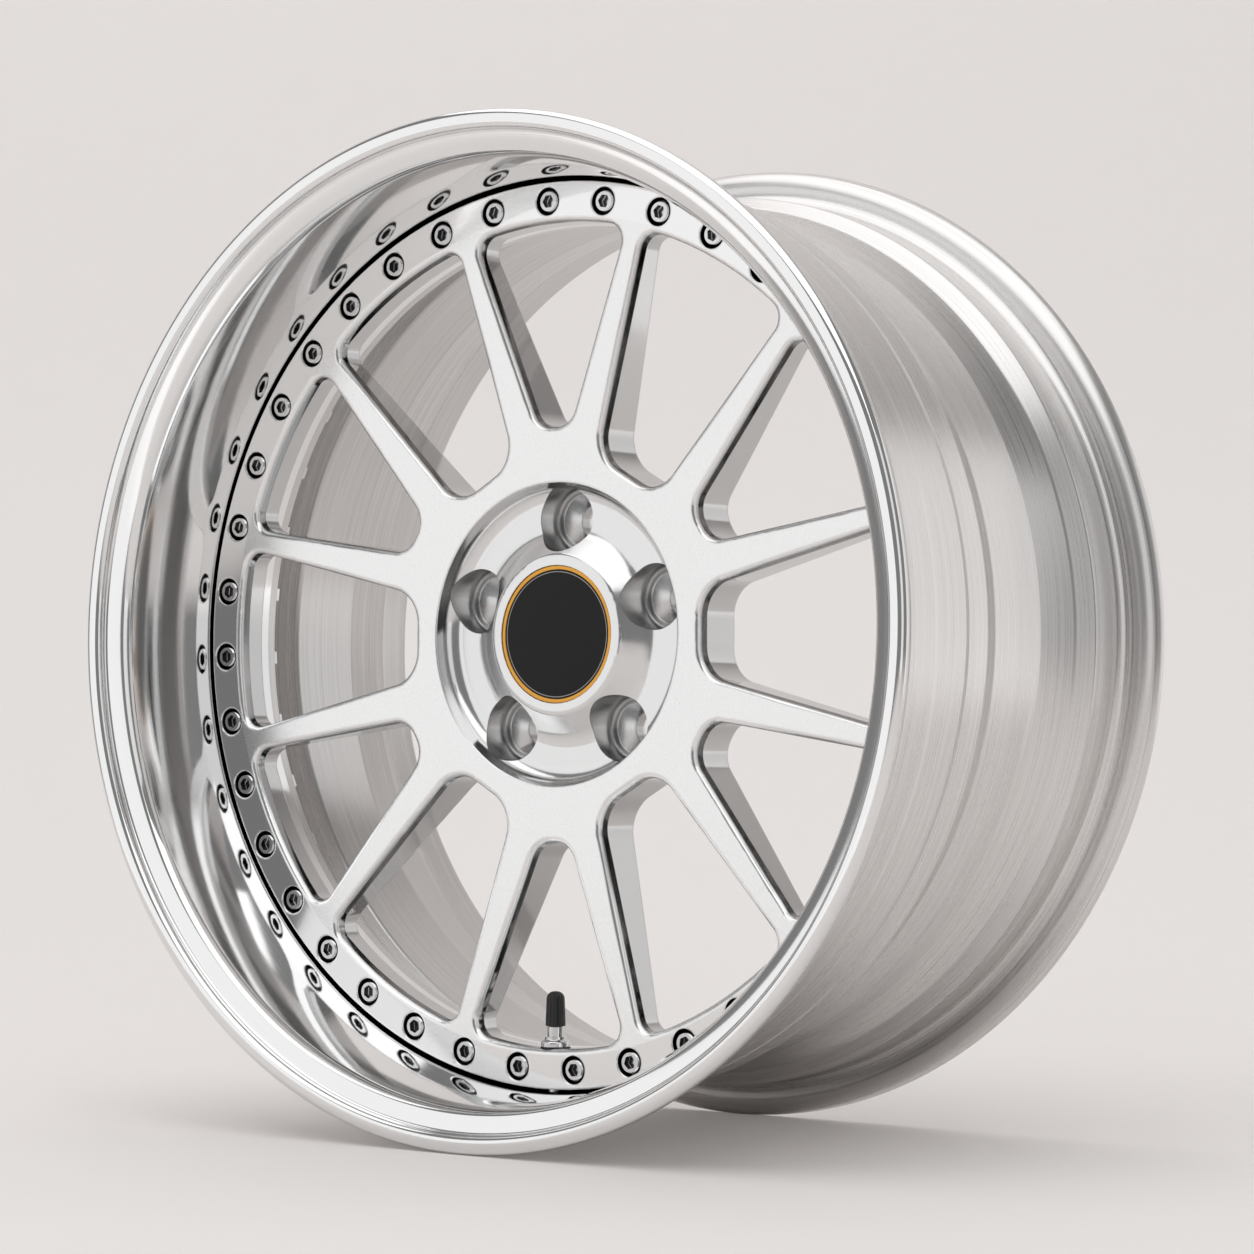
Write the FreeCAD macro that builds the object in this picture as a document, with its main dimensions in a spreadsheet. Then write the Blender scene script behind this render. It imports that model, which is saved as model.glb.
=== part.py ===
import FreeCAD, Part
import math
import os
import re
import Sketcher

# Three-piece car wheel: a lip, a barrel and a spoked centre disc, bolted together round one ring.
# Millimetres. The wheel's axis is Y, its face looks along -Y, +Z is up, and the origin is its centre.

# Driving dimensions: lengths in millimetres, and plain counts, shares and degrees
SIZES = {
    # rim contour, the standard J flange on an 18 inch seat, 8.5 inches wide
    "rim_width": 215.9,
    "seat_radius": 231.0,
    "seat_length": 20.0,
    "seat_drop": 1.75,
    "flange_height": 17.5,
    "flange_width": 13.0,
    "curl_radius": 9.5,
    "heel_radius": 6.5,
    "edge_radius": 3.2,
    "hump_rise": 1.6,
    "hump_length": 4.0,
    "hump_ramp": 5.0,
    # outer lip
    "lip_depth": 68.0,
    "lip_wall": 3.6,
    "lip_drop": 3.8,
    "lip_flange": 5.0,
    "mouth_drop": 4.2,
    "mouth_length": 5.0,
    "bead_width": 8.8,
    "step_depth": 5.5,
    "step_width": 4.2,
    "shelf_width": 5.8,
    "shelf_fall": 2.6,
    # inner barrel
    "barrel_wall": 4.4,
    "barrel_flange": 5.0,
    "nut_bay": 13.0,
    "well_drop": 7.8,
    "well_ramp": 19.0,
    "rise_length": 25.0,
    "shoulder_rise": 4.6,
    "shoulder_ramp": 8.4,
    "rear_bevel": 11.0,
    # sealant bead in the joint of lip and barrel
    "seal_groove": 1.4,
    "seal_gap": 0.05,
    # centre disc
    "disc_gap": 1.0,
    "slot_bend": 0.7,
    "disc_edge": 0.8,
    "ring_width": 19.6,
    "ring_thickness": 17.0,
    "ring_border": 16.7,
    "face_rise": 6.0,
    "spoke_depth": 35.0,
    "spoke_shelf": 3.0,
    "mount_depth": 47.0,
    "pad_overhang": 3.2,
    "pad_slope": 10.0,
    # windows between the spokes
    "spoke_count": 12,
    "spoke_tip_width": 10.6,
    "window_corner": 9.0,
    "window_edge": 2.4,
    "narrow_land": 27.2,
    "narrow_root": 13.0,
    "narrow_flat": 2.4,
    "wide_land": 13.0,
    "wide_root": 18.0,
    "wide_flat": 13.6,
    # dish round the cap
    "dish_radius": 74.8,
    "dish_depth": 10.5,
    "dish_lean": 2.3,
    "dish_floor": 20.5,
    "dish_outer_bend": 8.0,
    "dish_inner_bend": 12.0,
    "nose_drop": 1.5,
    "nose_width": 5.0,
    "nose_bend": 4.0,
    # wheel bolts and hub
    "lug_circle": 114.3,
    "lug_count": 5,
    "lug_hole": 16.0,
    "lug_seat": 26.0,
    "lug_cone_angle": 60,
    "lug_pocket": 32.6,
    "lug_seat_height": 16.0,
    "hub_bore": 73.1,
    "hub_bore_length": 20.0,
    "hub_chamfer": 1.5,
    # assembly bolts, washers and nuts
    "bolt_count": 39,
    "bolt_edge": 9.5,
    "bolt_diameter": 7.0,
    "bolt_clearance": 0.25,
    "bolt_head_diameter": 11.0,
    "bolt_head_height": 7.0,
    "bolt_head_chamfer": 0.7,
    "bolt_overhang": 2.0,
    "socket_across": 6.0,
    "socket_depth": 3.6,
    "counterbore_diameter": 13.8,
    "counterbore_depth": 7.6,
    "counterbore_chamfer": 0.4,
    "washer_diameter": 14.0,
    "washer_thickness": 1.4,
    "nut_across": 11.0,
    "nut_height": 5.5,
    "thread_gap": 0.05,
    # tyre valve
    "spot_face": 0.5,
    "spot_margin": 1.0,
    "valve_hole": 8.4,
    "stem_diameter": 8.0,
    "stem_thread": 7.6,
    "stem_reach": 25.6,
    "stem_passage": 3.0,
    "stem_head_diameter": 17.0,
    "stem_head_height": 3.0,
    "outer_seal_diameter": 14.6,
    "outer_seal_height": 1.0,
    "inner_seal_diameter": 16.0,
    "inner_seal_height": 2.2,
    "collar_diameter": 14.2,
    "collar_neck": 10.6,
    "collar_skirt": 2.6,
    "collar_height": 5.0,
    "cap_start": 10.8,
    "cap_wall": 1.1,
    "cap_taper": 0.6,
    "cap_dome": 2.0,
    "cap_seal_height": 0.6,
    "core_chamber": 5.2,
    "core_chamber_depth": 18.0,
    "core_gap": 0.1,
    "core_length": 13.0,
    "core_set_back": 1.0,
    "core_bore": 2.7,
    "core_web": 1.5,
    "pin_diameter": 1.4,
    "pin_gap": 0.06,
    "pin_proud": 0.8,
    "pin_collar": 2.4,
    "pin_collar_set": 0.75,
    "pin_collar_height": 0.6,
    "pin_plug": 3.8,
    "pin_plug_height": 0.9,
    "pin_plug_gap": 0.05,
    "spring_wire": 0.34,
    "spring_turns": 6,
    "spring_gap": 0.06,
    # centre cap
    "cap_recess_diameter": 68.4,
    "cap_recess_depth": 4.0,
    "cap_fit": 0.15,
    "cap_plate": 2.2,
    "cap_bore": 61.0,
    "trim_width": 2.2,
    "trim_height": 1.3,
    "badge_gap": 0.1,
    "badge_height": 1.0,
    "badge_crown": 0.5,
    "crown_share": 0.6,
    "leg_length": 11.0,
    "leg_wall": 2.0,
    "leg_count": 8,
    "leg_slot": 6.0,
    "barb_reach": 0.8,
    "barb_height": 2.0,
    "barb_set_back": 7.0,
    "groove_gap": 0.3,
    "spring_ring_wire": 1.6,
}

# Places that follow from the driving dimensions
PLACES = {
    "half_width": "rim_width / 2 + flange_width",
    "flange_face": "rim_width / 2",
    "rim_radius": "seat_radius + flange_height",
    "seat_end_radius": "seat_radius - seat_drop",
    "hump_radius": "seat_end_radius + hump_rise",
    "seat_end": "flange_face - seat_length",
    "hump_end": "seat_end - hump_rise - hump_length",
    "bead_inner": "rim_radius - bead_width",
    "lip_outer": "seat_radius - lip_drop",
    "lip_inner": "lip_outer - lip_wall",
    "mouth_radius": "seat_radius - mouth_drop",
    "step_floor": "step_depth - half_width",
    "shelf_end": "step_floor + shelf_fall",
    "disc_radius": "lip_inner - disc_gap",
    "ring_inner": "disc_radius - ring_width",
    "border_radius": "disc_radius - ring_border",
    "ring_face": "lip_depth - half_width",
    "ring_back": "ring_face + ring_thickness",
    "joint": "ring_back + lip_flange",
    "flange_back": "joint + barrel_flange",
    "well_radius": "lip_outer - well_drop",
    "well_start": "flange_back + nut_bay + well_ramp",
    "shoulder": "hump_end - shoulder_ramp",
    "shoulder_radius": "well_radius + shoulder_rise",
    "bay_radius": "lip_outer - barrel_wall",
    "hub_face": "ring_face + face_rise",
    "mount_face": "ring_face + mount_depth",
    "spoke_back": "ring_face + spoke_depth",
    "pad_radius": "dish_radius + pad_overhang",
    "narrow_reach": "dish_radius + narrow_land",
    "wide_reach": "dish_radius + wide_land",
    "dish_bottom": "hub_face + dish_depth",
    "dish_foot": "dish_radius - dish_lean",
    "nose_face": "hub_face + nose_drop",
    "nose_radius": "cap_recess_diameter / 2 + nose_width",
    "recess_floor": "nose_face + cap_recess_depth",
    "bolt_circle": "disc_radius - bolt_edge",
    "bolt_seat": "ring_face + counterbore_depth",
    "nut_seat": "flange_back + washer_thickness",
    "nut_end": "nut_seat + nut_height",
    "bolt_end": "nut_end + bolt_overhang",
    "half_pitch": "180 deg / spoke_count",
    "window_angle": "half_pitch - asin(spoke_tip_width / (2 * ring_inner))",
    "lug_floor": "mount_face - lug_seat_height",
    "lug_cone": "(lug_seat - lug_hole) / 2 / tan(lug_cone_angle / 2 * 1 deg)",
    "valve_axis": "(ring_face + ring_back) / 2",
    "valve_seat": "ring_inner + spot_face",
    "valve_back": "valve_seat - lip_outer + spot_face",
    "stem_head": "valve_back - inner_seal_height",
    "collar_top": "outer_seal_height + collar_height",
    "thread_start": "cap_start + cap_seal_height",
    "core_top": "stem_reach - core_set_back",
    "core_foot": "core_top - core_length",
    "pin_top": "core_top + pin_proud",
    "pin_foot": "core_foot - pin_plug_gap - pin_plug_height",
    "pin_collar_top": "core_top - core_web - pin_collar_set",
    "spring_foot": "core_foot + core_web + spring_gap + spring_wire / 2",
    "spring_top": "pin_collar_top - pin_collar_height - spring_gap - spring_wire / 2",
    "cap_radius": "cap_recess_diameter / 2 - cap_fit",
    "plate_face": "recess_floor - cap_plate",
    "badge_radius": "cap_radius - trim_width - badge_gap",
    "leg_radius": "cap_bore / 2 - cap_fit",
    "barb_start": "recess_floor + barb_set_back",
    "leg_end": "recess_floor + leg_length",
}

WORD = re.compile(r"[a-z][a-z_]*")
CLOSE = 0.01  # how near to a surface a point counts as on it

doc = FreeCAD.newDocument("car_wheel")
sheet = doc.addObject("Spreadsheet::Sheet", "Sizes")


def fill_sheet():
    """Write the driving dimensions as named cells"""
    for row, (name, value) in enumerate(SIZES.items(), start=1):
        sheet.set(f"A{row}", name)
        sheet.set(f"B{row}", str(value))
        sheet.setAlias(f"B{row}", name)
    doc.recompute()


def formula(rule):
    """Turn a rule on named sizes into an expression on the sheet's cells"""
    def spell(match):
        word = match.group(0)
        if word in SIZES:
            return "Sizes." + word
        if word in PLACES:
            return "(" + formula(PLACES[word]) + ")"
        return word
    return WORD.sub(spell, rule)


def number(rule):
    """Give a rule's present value as a plain number"""
    value = sheet.evalExpression(formula(rule))
    return float(getattr(value, "Value", value))


def new_body(node):
    """Start a sub-part; its label names its file"""
    body = doc.addObject("PartDesign::Body", node)
    body.Label = node
    body.AllowCompound = True
    return body


def origin_feature(body, role):
    """Find a body's own origin plane or axis"""
    return next(item for item in body.Origin.OriginFeatures if item.Role == role)


def new_sketch(body, name, plane, offset="0"):
    """Attach a sketch to one of the body's origin planes, moved along the plane's normal"""
    sketch = body.newObject("Sketcher::SketchObject", name)
    sketch.AttachmentSupport = [(origin_feature(body, plane), "")]
    sketch.MapMode = "FlatFace"
    sketch.setExpression("AttachmentOffset.Base.z", formula(offset))
    return sketch


class Bindings:
    """Collects a sketch's constraints, then ties the dimensional ones to their rules"""

    def __init__(self, sketch):
        self.sketch = sketch
        self.constraints = []
        self.rules = {}

    def add(self, *terms, rule=None):
        if rule is not None:
            self.rules[len(self.constraints)] = rule
            terms = terms + (number(rule),)
        self.constraints.append(Sketcher.Constraint(*terms))

    def place(self, geometry, point, x, y):
        self.add("DistanceX", -1, 1, geometry, point, rule=x)
        self.add("DistanceY", -1, 1, geometry, point, rule=y)

    def apply(self):
        first = self.sketch.ConstraintCount
        self.sketch.addConstraint(self.constraints)
        for index, rule in self.rules.items():
            self.sketch.setExpression(f"Constraints[{first + index}]", formula(rule))


def draw_outline(sketch, corners):
    """Close an outline through corners (x, y) or, where an arc rounds it, (x, y, radius)"""
    points = [FreeCAD.Vector(number(corner[0]), number(corner[1]), 0) for corner in corners]
    radii = [number(corner[2]) if len(corner) > 2 else 0.0 for corner in corners]
    count = len(corners)
    arrive, leave, centres = [], [], []
    for index, point in enumerate(points):
        back = (points[index - 1] - point).normalize()
        onward = (points[(index + 1) % count] - point).normalize()
        half = back.getAngle(onward) / 2
        reach = radii[index] / math.tan(half)
        arrive.append(point + back * reach)
        leave.append(point + onward * reach)
        middle = (back + onward).normalize()
        centres.append(point + middle * (radii[index] / math.sin(half)))

    bindings = Bindings(sketch)
    lines = []
    for index in range(count):
        line = Part.LineSegment(leave[index], arrive[(index + 1) % count])
        lines.append(sketch.addGeometry(line, False))
    for index, corner in enumerate(corners):
        before = lines[index - 1]
        after = lines[index]
        if not radii[index]:
            bindings.add("Coincident", before, 2, after, 1)
            bindings.place(after, 1, corner[0], corner[1])
            continue
        mark = sketch.addGeometry(Part.Point(points[index]), True)
        bindings.place(mark, 1, corner[0], corner[1])
        bindings.add("PointOnObject", mark, 1, before)
        bindings.add("PointOnObject", mark, 1, after)
        first = arrive[index] - centres[index]
        last = leave[index] - centres[index]
        turns_left = first.cross(last).z > 0
        start, end = (first, last) if turns_left else (last, first)
        circle = Part.Circle(centres[index], FreeCAD.Vector(0, 0, 1), radii[index])
        angles = (math.atan2(start.y, start.x), math.atan2(end.y, end.x))
        arc = sketch.addGeometry(Part.ArcOfCircle(circle, *angles), False)
        bindings.add("Tangent", before, 2, arc, 1 if turns_left else 2)
        bindings.add("Tangent", after, 1, arc, 2 if turns_left else 1)
        bindings.add("Radius", arc, rule=corner[2])
    bindings.apply()


def draw_circle(sketch, height, diameter):
    """Draw a circle on the sketch's upright axis"""
    middle = FreeCAD.Vector(0, number(height), 0)
    circle = Part.Circle(middle, FreeCAD.Vector(0, 0, 1), number(diameter) / 2)
    ring = sketch.addGeometry(circle, False)
    bindings = Bindings(sketch)
    bindings.place(ring, 3, "0", height)
    bindings.add("Diameter", ring, rule=diameter)
    bindings.apply()


def draw_axis(sketch, height):
    """Draw a construction line along the sketch's level direction, for turning a profile about"""
    reach = number("half_width")
    start = FreeCAD.Vector(-reach, number(height), 0)
    end = FreeCAD.Vector(reach, number(height), 0)
    line = sketch.addGeometry(Part.LineSegment(start, end), True)
    bindings = Bindings(sketch)
    bindings.place(line, 1, "0 - half_width", height)
    bindings.place(line, 2, "half_width", height)
    bindings.apply()


def draw_hexagon(sketch, height, across):
    """Draw a hexagon with two level flats, centred on the sketch's upright axis"""
    corners = []
    for step in range(6):
        x = f"{across} / sqrt(3) * cos({60 * step} deg)"
        y = f"{height} + {across} / sqrt(3) * sin({60 * step} deg)"
        corners.append((x, y))
    draw_outline(sketch, corners)


def draw_window(sketch, reach, root, flat):
    """Draw a spoke window: an outer arc along the ring, straight sides and a rounded root"""
    upright = FreeCAD.Vector(0, 0, 1)
    ring = number("ring_inner")
    corner = number("window_corner")
    angle = math.radians(number("window_angle"))
    tip = FreeCAD.Vector(ring * math.sin(angle), ring * math.cos(angle), 0)
    root_radius = number(root)
    root_middle = FreeCAD.Vector(number(flat) / 2, number(reach) + root_radius, 0)

    # the right-hand side leaves the root arc at a tangent and runs to the tip
    sight = tip - root_middle
    bearing = math.atan2(sight.y, sight.x) - math.acos(root_radius / sight.Length)
    side_start = root_middle + FreeCAD.Vector(math.cos(bearing), math.sin(bearing), 0) * root_radius
    along = (tip - side_start).normalize()
    inward = FreeCAD.Vector(-along.y, along.x, 0)
    base = side_start + inward * corner
    lead = along.dot(base)
    travel = -lead + math.sqrt(lead ** 2 - base.dot(base) + (ring - corner) ** 2)
    corner_middle = base + along * travel
    side_end = side_start + along * travel
    ring_start = corner_middle * (ring / (ring - corner))

    def mirrored(point):
        return FreeCAD.Vector(-point.x, point.y, 0)

    def arc(middle, radius, start, end):
        first = start - middle
        last = end - middle
        circle = Part.Circle(middle, upright, radius)
        angles = (math.atan2(first.y, first.x), math.atan2(last.y, last.x))
        return sketch.addGeometry(Part.ArcOfCircle(circle, *angles), False)

    foot = FreeCAD.Vector(root_middle.x, number(reach), 0)
    right = sketch.addGeometry(Part.LineSegment(side_start, side_end), False)
    right_corner = arc(corner_middle, corner, side_end, ring_start)
    outer = arc(FreeCAD.Vector(), ring, ring_start, mirrored(ring_start))
    left_corner = arc(mirrored(corner_middle), corner, mirrored(ring_start), mirrored(side_end))
    left = sketch.addGeometry(Part.LineSegment(mirrored(side_end), mirrored(side_start)), False)
    left_root = arc(mirrored(root_middle), root_radius, mirrored(side_start), mirrored(foot))
    floor = sketch.addGeometry(Part.LineSegment(mirrored(foot), foot), False)
    right_root = arc(root_middle, root_radius, foot, side_start)
    right_tip = sketch.addGeometry(Part.Point(tip), True)
    left_tip = sketch.addGeometry(Part.Point(mirrored(tip)), True)

    bindings = Bindings(sketch)
    chain = [right, right_corner, outer, left_corner, left, left_root, floor, right_root]
    for index, piece in enumerate(chain):
        bindings.add("Tangent", piece, 2, chain[(index + 1) % len(chain)], 1)
    bindings.add("Coincident", outer, 3, -1, 1)
    bindings.add("Radius", outer, rule="ring_inner")
    for piece in (right_corner, left_corner):
        bindings.add("Radius", piece, rule="window_corner")
    for piece, sign in ((right_root, ""), (left_root, "0 - ")):
        bindings.add("Radius", piece, rule=root)
        bindings.place(piece, 3, f"{sign}{flat} / 2", f"{reach} + {root}")
    for piece, side, sign in ((right_tip, right, ""), (left_tip, left, "0 - ")):
        bindings.place(piece, 1, f"{sign}ring_inner * sin(window_angle)", "ring_inner * cos(window_angle)")
        bindings.add("PointOnObject", piece, 1, side)
    bindings.apply()


def turn(body, sketch, kind="Revolution", axis="V_Axis"):
    """Turn a profile into a solid, or into a cut when the kind is Groove"""
    feature = body.newObject("PartDesign::" + kind, f"{sketch.Name}_turned")
    feature.Profile = sketch
    feature.ReferenceAxis = (sketch, [axis])
    feature.Angle = 360
    body.Tip = feature
    return feature


def pocket(body, sketch, depth=None):
    """Cut a sketch into the body, to a depth or right through"""
    feature = body.newObject("PartDesign::Pocket", f"{sketch.Name}_cut")
    feature.Profile = sketch
    if depth is None:
        feature.Type = "ThroughAll"
    else:
        feature.setExpression("Length", formula(depth))
    body.Tip = feature
    return feature


def pad(body, sketch, height):
    """Raise a sketch along its plane's normal"""
    feature = body.newObject("PartDesign::Pad", f"{sketch.Name}_raised")
    feature.Profile = sketch
    feature.setExpression("Length", formula(height))
    body.Tip = feature
    return feature


def repeat(body, features, count):
    """Repeat features evenly round the wheel's axis"""
    pattern = body.newObject("PartDesign::PolarPattern", f"{features[0].Name}_repeated")
    pattern.Originals = features
    pattern.Axis = (origin_feature(body, "Y_Axis"), [""])
    pattern.Angle = 360
    pattern.setExpression("Occurrences", formula(count))
    body.Tip = pattern
    return pattern


def turned_piece(node, plane, corners):
    """Make a sub-part whose whole form is one turned profile"""
    body = new_body(node)
    sketch = new_sketch(body, f"{node}_profile", plane)
    draw_outline(sketch, corners)
    turn(body, sketch)
    return body


def on_valve(piece, height="0"):
    """Stand a valve piece, drawn along +Z, at a height above its seat at the foot of the lowest window"""
    piece.setExpression("Placement.Base.y", formula("valve_axis"))
    piece.setExpression("Placement.Base.z", formula(f"{height} - valve_seat"))


def edges_along(shape, test):
    """Name the edges whose points all pass a test"""
    names = []
    for index, edge in enumerate(shape.Edges, start=1):
        span = edge.LastParameter - edge.FirstParameter
        points = [edge.valueAt(edge.FirstParameter + span * step / 4) for step in range(5)]
        if all(test(point) for point in points):
            names.append(f"Edge{index}")
    return names


def bore_valve_hole(body, name, start):
    """Drill the radial valve hole downwards from a height above it"""
    sketch = new_sketch(body, name, "XY_Plane", start)
    draw_circle(sketch, "valve_axis", "valve_hole")
    pocket(body, sketch)


def make_lip():
    """Polished outer half of the rim, with the flange that the disc is bolted against"""
    body = turned_piece("outer_lip", "XY_Plane", [
        ("ring_inner", "ring_back"),
        ("ring_inner", "joint"),
        ("lip_outer - seal_groove", "joint"),
        ("lip_outer", "joint - seal_groove"),
        ("lip_outer", "0 - hump_end + hump_ramp", "hump_ramp / 2"),
        ("hump_radius", "0 - hump_end", "hump_length / 3"),
        ("hump_radius", "0 - seat_end + hump_rise", "hump_rise / 2"),
        ("seat_end_radius", "0 - seat_end"),
        ("seat_radius", "0 - flange_face", "heel_radius"),
        ("rim_radius", "0 - flange_face", "curl_radius"),
        ("rim_radius", "0 - half_width", "edge_radius"),
        ("bead_inner", "0 - half_width", "edge_radius"),
        ("bead_inner - step_depth / 8", "step_floor", "step_depth / 3"),
        ("bead_inner - step_width", "step_floor + step_depth / 8"),
        ("bead_inner - step_width - shelf_width", "shelf_end", "shelf_fall"),
        ("mouth_radius", "shelf_end + mouth_length"),
        ("lip_inner", "ring_back", "slot_bend"),
    ])
    spot = new_sketch(body, "lip_spot_face", "XY_Plane", "spot_face - lip_outer")
    draw_circle(spot, "valve_axis", "stem_head_diameter + 2 * spot_margin")
    pocket(body, spot)
    bore_valve_hole(body, "lip_valve_hole", "lip_wall - lip_inner")
    drill_bolt_holes(body, "lip_bolt_hole", "ring_back")


def make_barrel():
    """Inner half of the rim: flange, well, safety hump, bead seat and rear flange"""
    body = turned_piece("inner_barrel", "XY_Plane", [
        ("ring_inner", "joint"),
        ("lip_outer - seal_groove", "joint"),
        ("lip_outer", "joint + seal_groove"),
        ("lip_outer", "flange_back + nut_bay", "well_drop"),
        ("well_radius", "well_start", "well_ramp / 2"),
        ("well_radius", "shoulder - rise_length", "rise_length / 8"),
        ("shoulder_radius", "shoulder", "shoulder_ramp / 2"),
        ("hump_radius", "hump_end", "hump_length / 3"),
        ("hump_radius", "seat_end - hump_rise", "hump_rise / 2"),
        ("seat_end_radius", "seat_end"),
        ("seat_radius", "flange_face", "heel_radius"),
        ("rim_radius", "flange_face", "curl_radius"),
        ("rim_radius", "half_width", "edge_radius"),
        ("bead_inner", "half_width", "edge_radius"),
        ("seat_radius - barrel_wall", "half_width - rear_bevel", "rear_bevel / 2"),
        ("seat_end_radius - barrel_wall", "seat_end", "barrel_wall / 2"),
        ("shoulder_radius - barrel_wall", "shoulder + barrel_wall / 2", "shoulder_ramp / 2"),
        ("well_radius - barrel_wall", "shoulder - rise_length", "rise_length / 4"),
        ("well_radius - barrel_wall", "well_start", "well_ramp / 2"),
        ("bay_radius", "flange_back + nut_bay", "well_drop"),
        ("bay_radius", "flange_back", "barrel_wall / 4"),
        ("ring_inner", "flange_back"),
    ])
    drill_bolt_holes(body, "barrel_bolt_hole", "joint")


def drill_bolt_holes(body, name, face):
    """Drill the ring of clearance holes for the assembly bolts, from a face to the rear"""
    sketch = new_sketch(body, name, "XZ_Plane", f"0 - ({face})")
    draw_circle(sketch, "bolt_circle", "bolt_diameter + 2 * bolt_clearance")
    hole = pocket(body, sketch, "ring_thickness + lip_flange + barrel_flange")
    repeat(body, [hole], "bolt_count")


def make_seal():
    """Bead of sealant in the groove where lip and barrel meet"""
    turned_piece("rim_seal", "XY_Plane", [
        ("lip_outer - seal_groove + 2 * seal_gap", "joint"),
        ("lip_outer", "joint + seal_groove - 2 * seal_gap"),
        ("lip_outer", "joint - seal_groove + 2 * seal_gap"),
    ])


def make_disc():
    """Spoked centre: bolting ring, spokes, polished dish, hub pad and bores"""
    groove_start = "barb_start - groove_gap"
    groove_end = "leg_end + groove_gap"
    groove_radius = "cap_bore / 2 + barb_reach + groove_gap"
    body = turned_piece("centre_disc", "XY_Plane", [
        ("cap_recess_diameter / 2", "recess_floor"),
        ("cap_recess_diameter / 2", "nose_face"),
        ("nose_radius", "nose_face", "nose_bend"),
        ("dish_foot - dish_floor", "dish_bottom", "dish_inner_bend"),
        ("dish_foot", "dish_bottom", "dish_outer_bend"),
        ("dish_radius", "hub_face", "disc_edge"),
        ("border_radius", "ring_face"),
        ("disc_radius - disc_edge", "ring_face"),
        ("disc_radius", "ring_face + disc_edge"),
        ("disc_radius", "ring_back"),
        ("ring_inner - spoke_shelf", "ring_back"),
        ("pad_radius + pad_slope", "spoke_back", "pad_slope / 2"),
        ("pad_radius", "mount_face"),
        ("hub_bore / 2 + hub_chamfer", "mount_face"),
        ("hub_bore / 2", "mount_face - hub_chamfer"),
        ("hub_bore / 2", "mount_face - hub_chamfer - hub_bore_length"),
        ("cap_bore / 2", "mount_face - hub_chamfer - hub_bore_length"),
        ("cap_bore / 2", groove_end),
        (groove_radius, groove_end),
        (groove_radius, groove_start),
        ("cap_bore / 2", groove_start),
        ("cap_bore / 2", "recess_floor"),
    ])
    # the turned face's seam lies along a spoke, clear of the windows' rounded edges
    profile = doc.getObject("centre_disc_profile")
    profile.AttachmentOffset.Rotation = FreeCAD.Rotation(FreeCAD.Vector(0, 1, 0), number("half_pitch"))
    profile.setExpression("AttachmentOffset.Rotation.Angle", formula("half_pitch"))
    cut_windows(body)
    cut_lug_holes(body)
    cut_bolt_seats(body)
    spot = new_sketch(body, "disc_spot_face", "XY_Plane", "0 - ring_inner + ring_width")
    draw_circle(spot, "valve_axis", "outer_seal_diameter + spot_margin")
    pocket(body, spot, "ring_width + spot_face")
    bore_valve_hole(body, "disc_valve_hole", "0 - ring_inner + ring_width")


def cut_windows(body):
    """Cut the two kinds of spoke window in turn round the disc, and round their front edges"""
    start = "0 - ring_face + disc_edge"
    narrow = new_sketch(body, "narrow_window", "XZ_Plane", start)
    draw_window(narrow, "narrow_reach", "narrow_root", "narrow_flat")
    repeat(body, [pocket(body, narrow)], "spoke_count / 2")
    wide = new_sketch(body, "wide_window", "XZ_Plane", start)
    draw_window(wide, "wide_reach", "wide_root", "wide_flat")
    wide.setExpression("AttachmentOffset.Rotation.Angle", formula("2 * half_pitch"))
    pattern = repeat(body, [pocket(body, wide)], "spoke_count / 2")
    doc.recompute()

    slope = number("(ring_face - hub_face) / (border_radius - dish_radius)")
    dish = number("dish_radius")
    border = number("border_radius")
    top = number("hub_face")
    margin = number("window_edge / 2")

    def on_face_inside(point):
        radius = math.hypot(point.x, point.z)
        height = top + slope * (radius - dish)
        return dish + margin < radius < border - margin and abs(point.y - height) < CLOSE

    rounding = body.newObject("PartDesign::Fillet", "window_rounding")
    rounding.Base = (pattern, edges_along(pattern.Shape, on_face_inside))
    rounding.setExpression("Radius", formula("window_edge"))
    body.Tip = rounding


def cut_lug_holes(body):
    """Cut the wheel bolts' pockets, with their conical seats and through holes"""
    middle = "lug_circle / 2"
    sketch = new_sketch(body, "lug_section", "YZ_Plane")
    draw_axis(sketch, middle)
    draw_outline(sketch, [
        ("ring_face", middle),
        ("ring_face", f"{middle} + lug_pocket / 2"),
        ("lug_floor", f"{middle} + lug_pocket / 2", "(lug_pocket - lug_seat) / 4"),
        ("lug_floor", f"{middle} + lug_seat / 2"),
        ("lug_floor + lug_cone", f"{middle} + lug_hole / 2"),
        ("mount_face + disc_edge", f"{middle} + lug_hole / 2"),
        ("mount_face + disc_edge", middle),
    ])
    cut = turn(body, sketch, "Groove", "Axis0")
    repeat(body, [cut], "lug_count")


def cut_bolt_seats(body):
    """Cut the chamfered recess and clearance hole of each assembly bolt"""
    sketch = new_sketch(body, "bolt_seat_section", "YZ_Plane")
    draw_axis(sketch, "bolt_circle")
    recess = "bolt_circle + counterbore_diameter / 2"
    hole = "bolt_circle + bolt_diameter / 2 + bolt_clearance"
    draw_outline(sketch, [
        ("ring_face", "bolt_circle"),
        ("ring_face", f"{recess} + counterbore_chamfer"),
        ("ring_face + counterbore_chamfer", recess),
        ("bolt_seat", recess),
        ("bolt_seat", hole),
        ("ring_back", hole),
        ("ring_back", "bolt_circle"),
    ])
    cut = turn(body, sketch, "Groove", "Axis0")
    repeat(body, [cut], "bolt_count")


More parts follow.
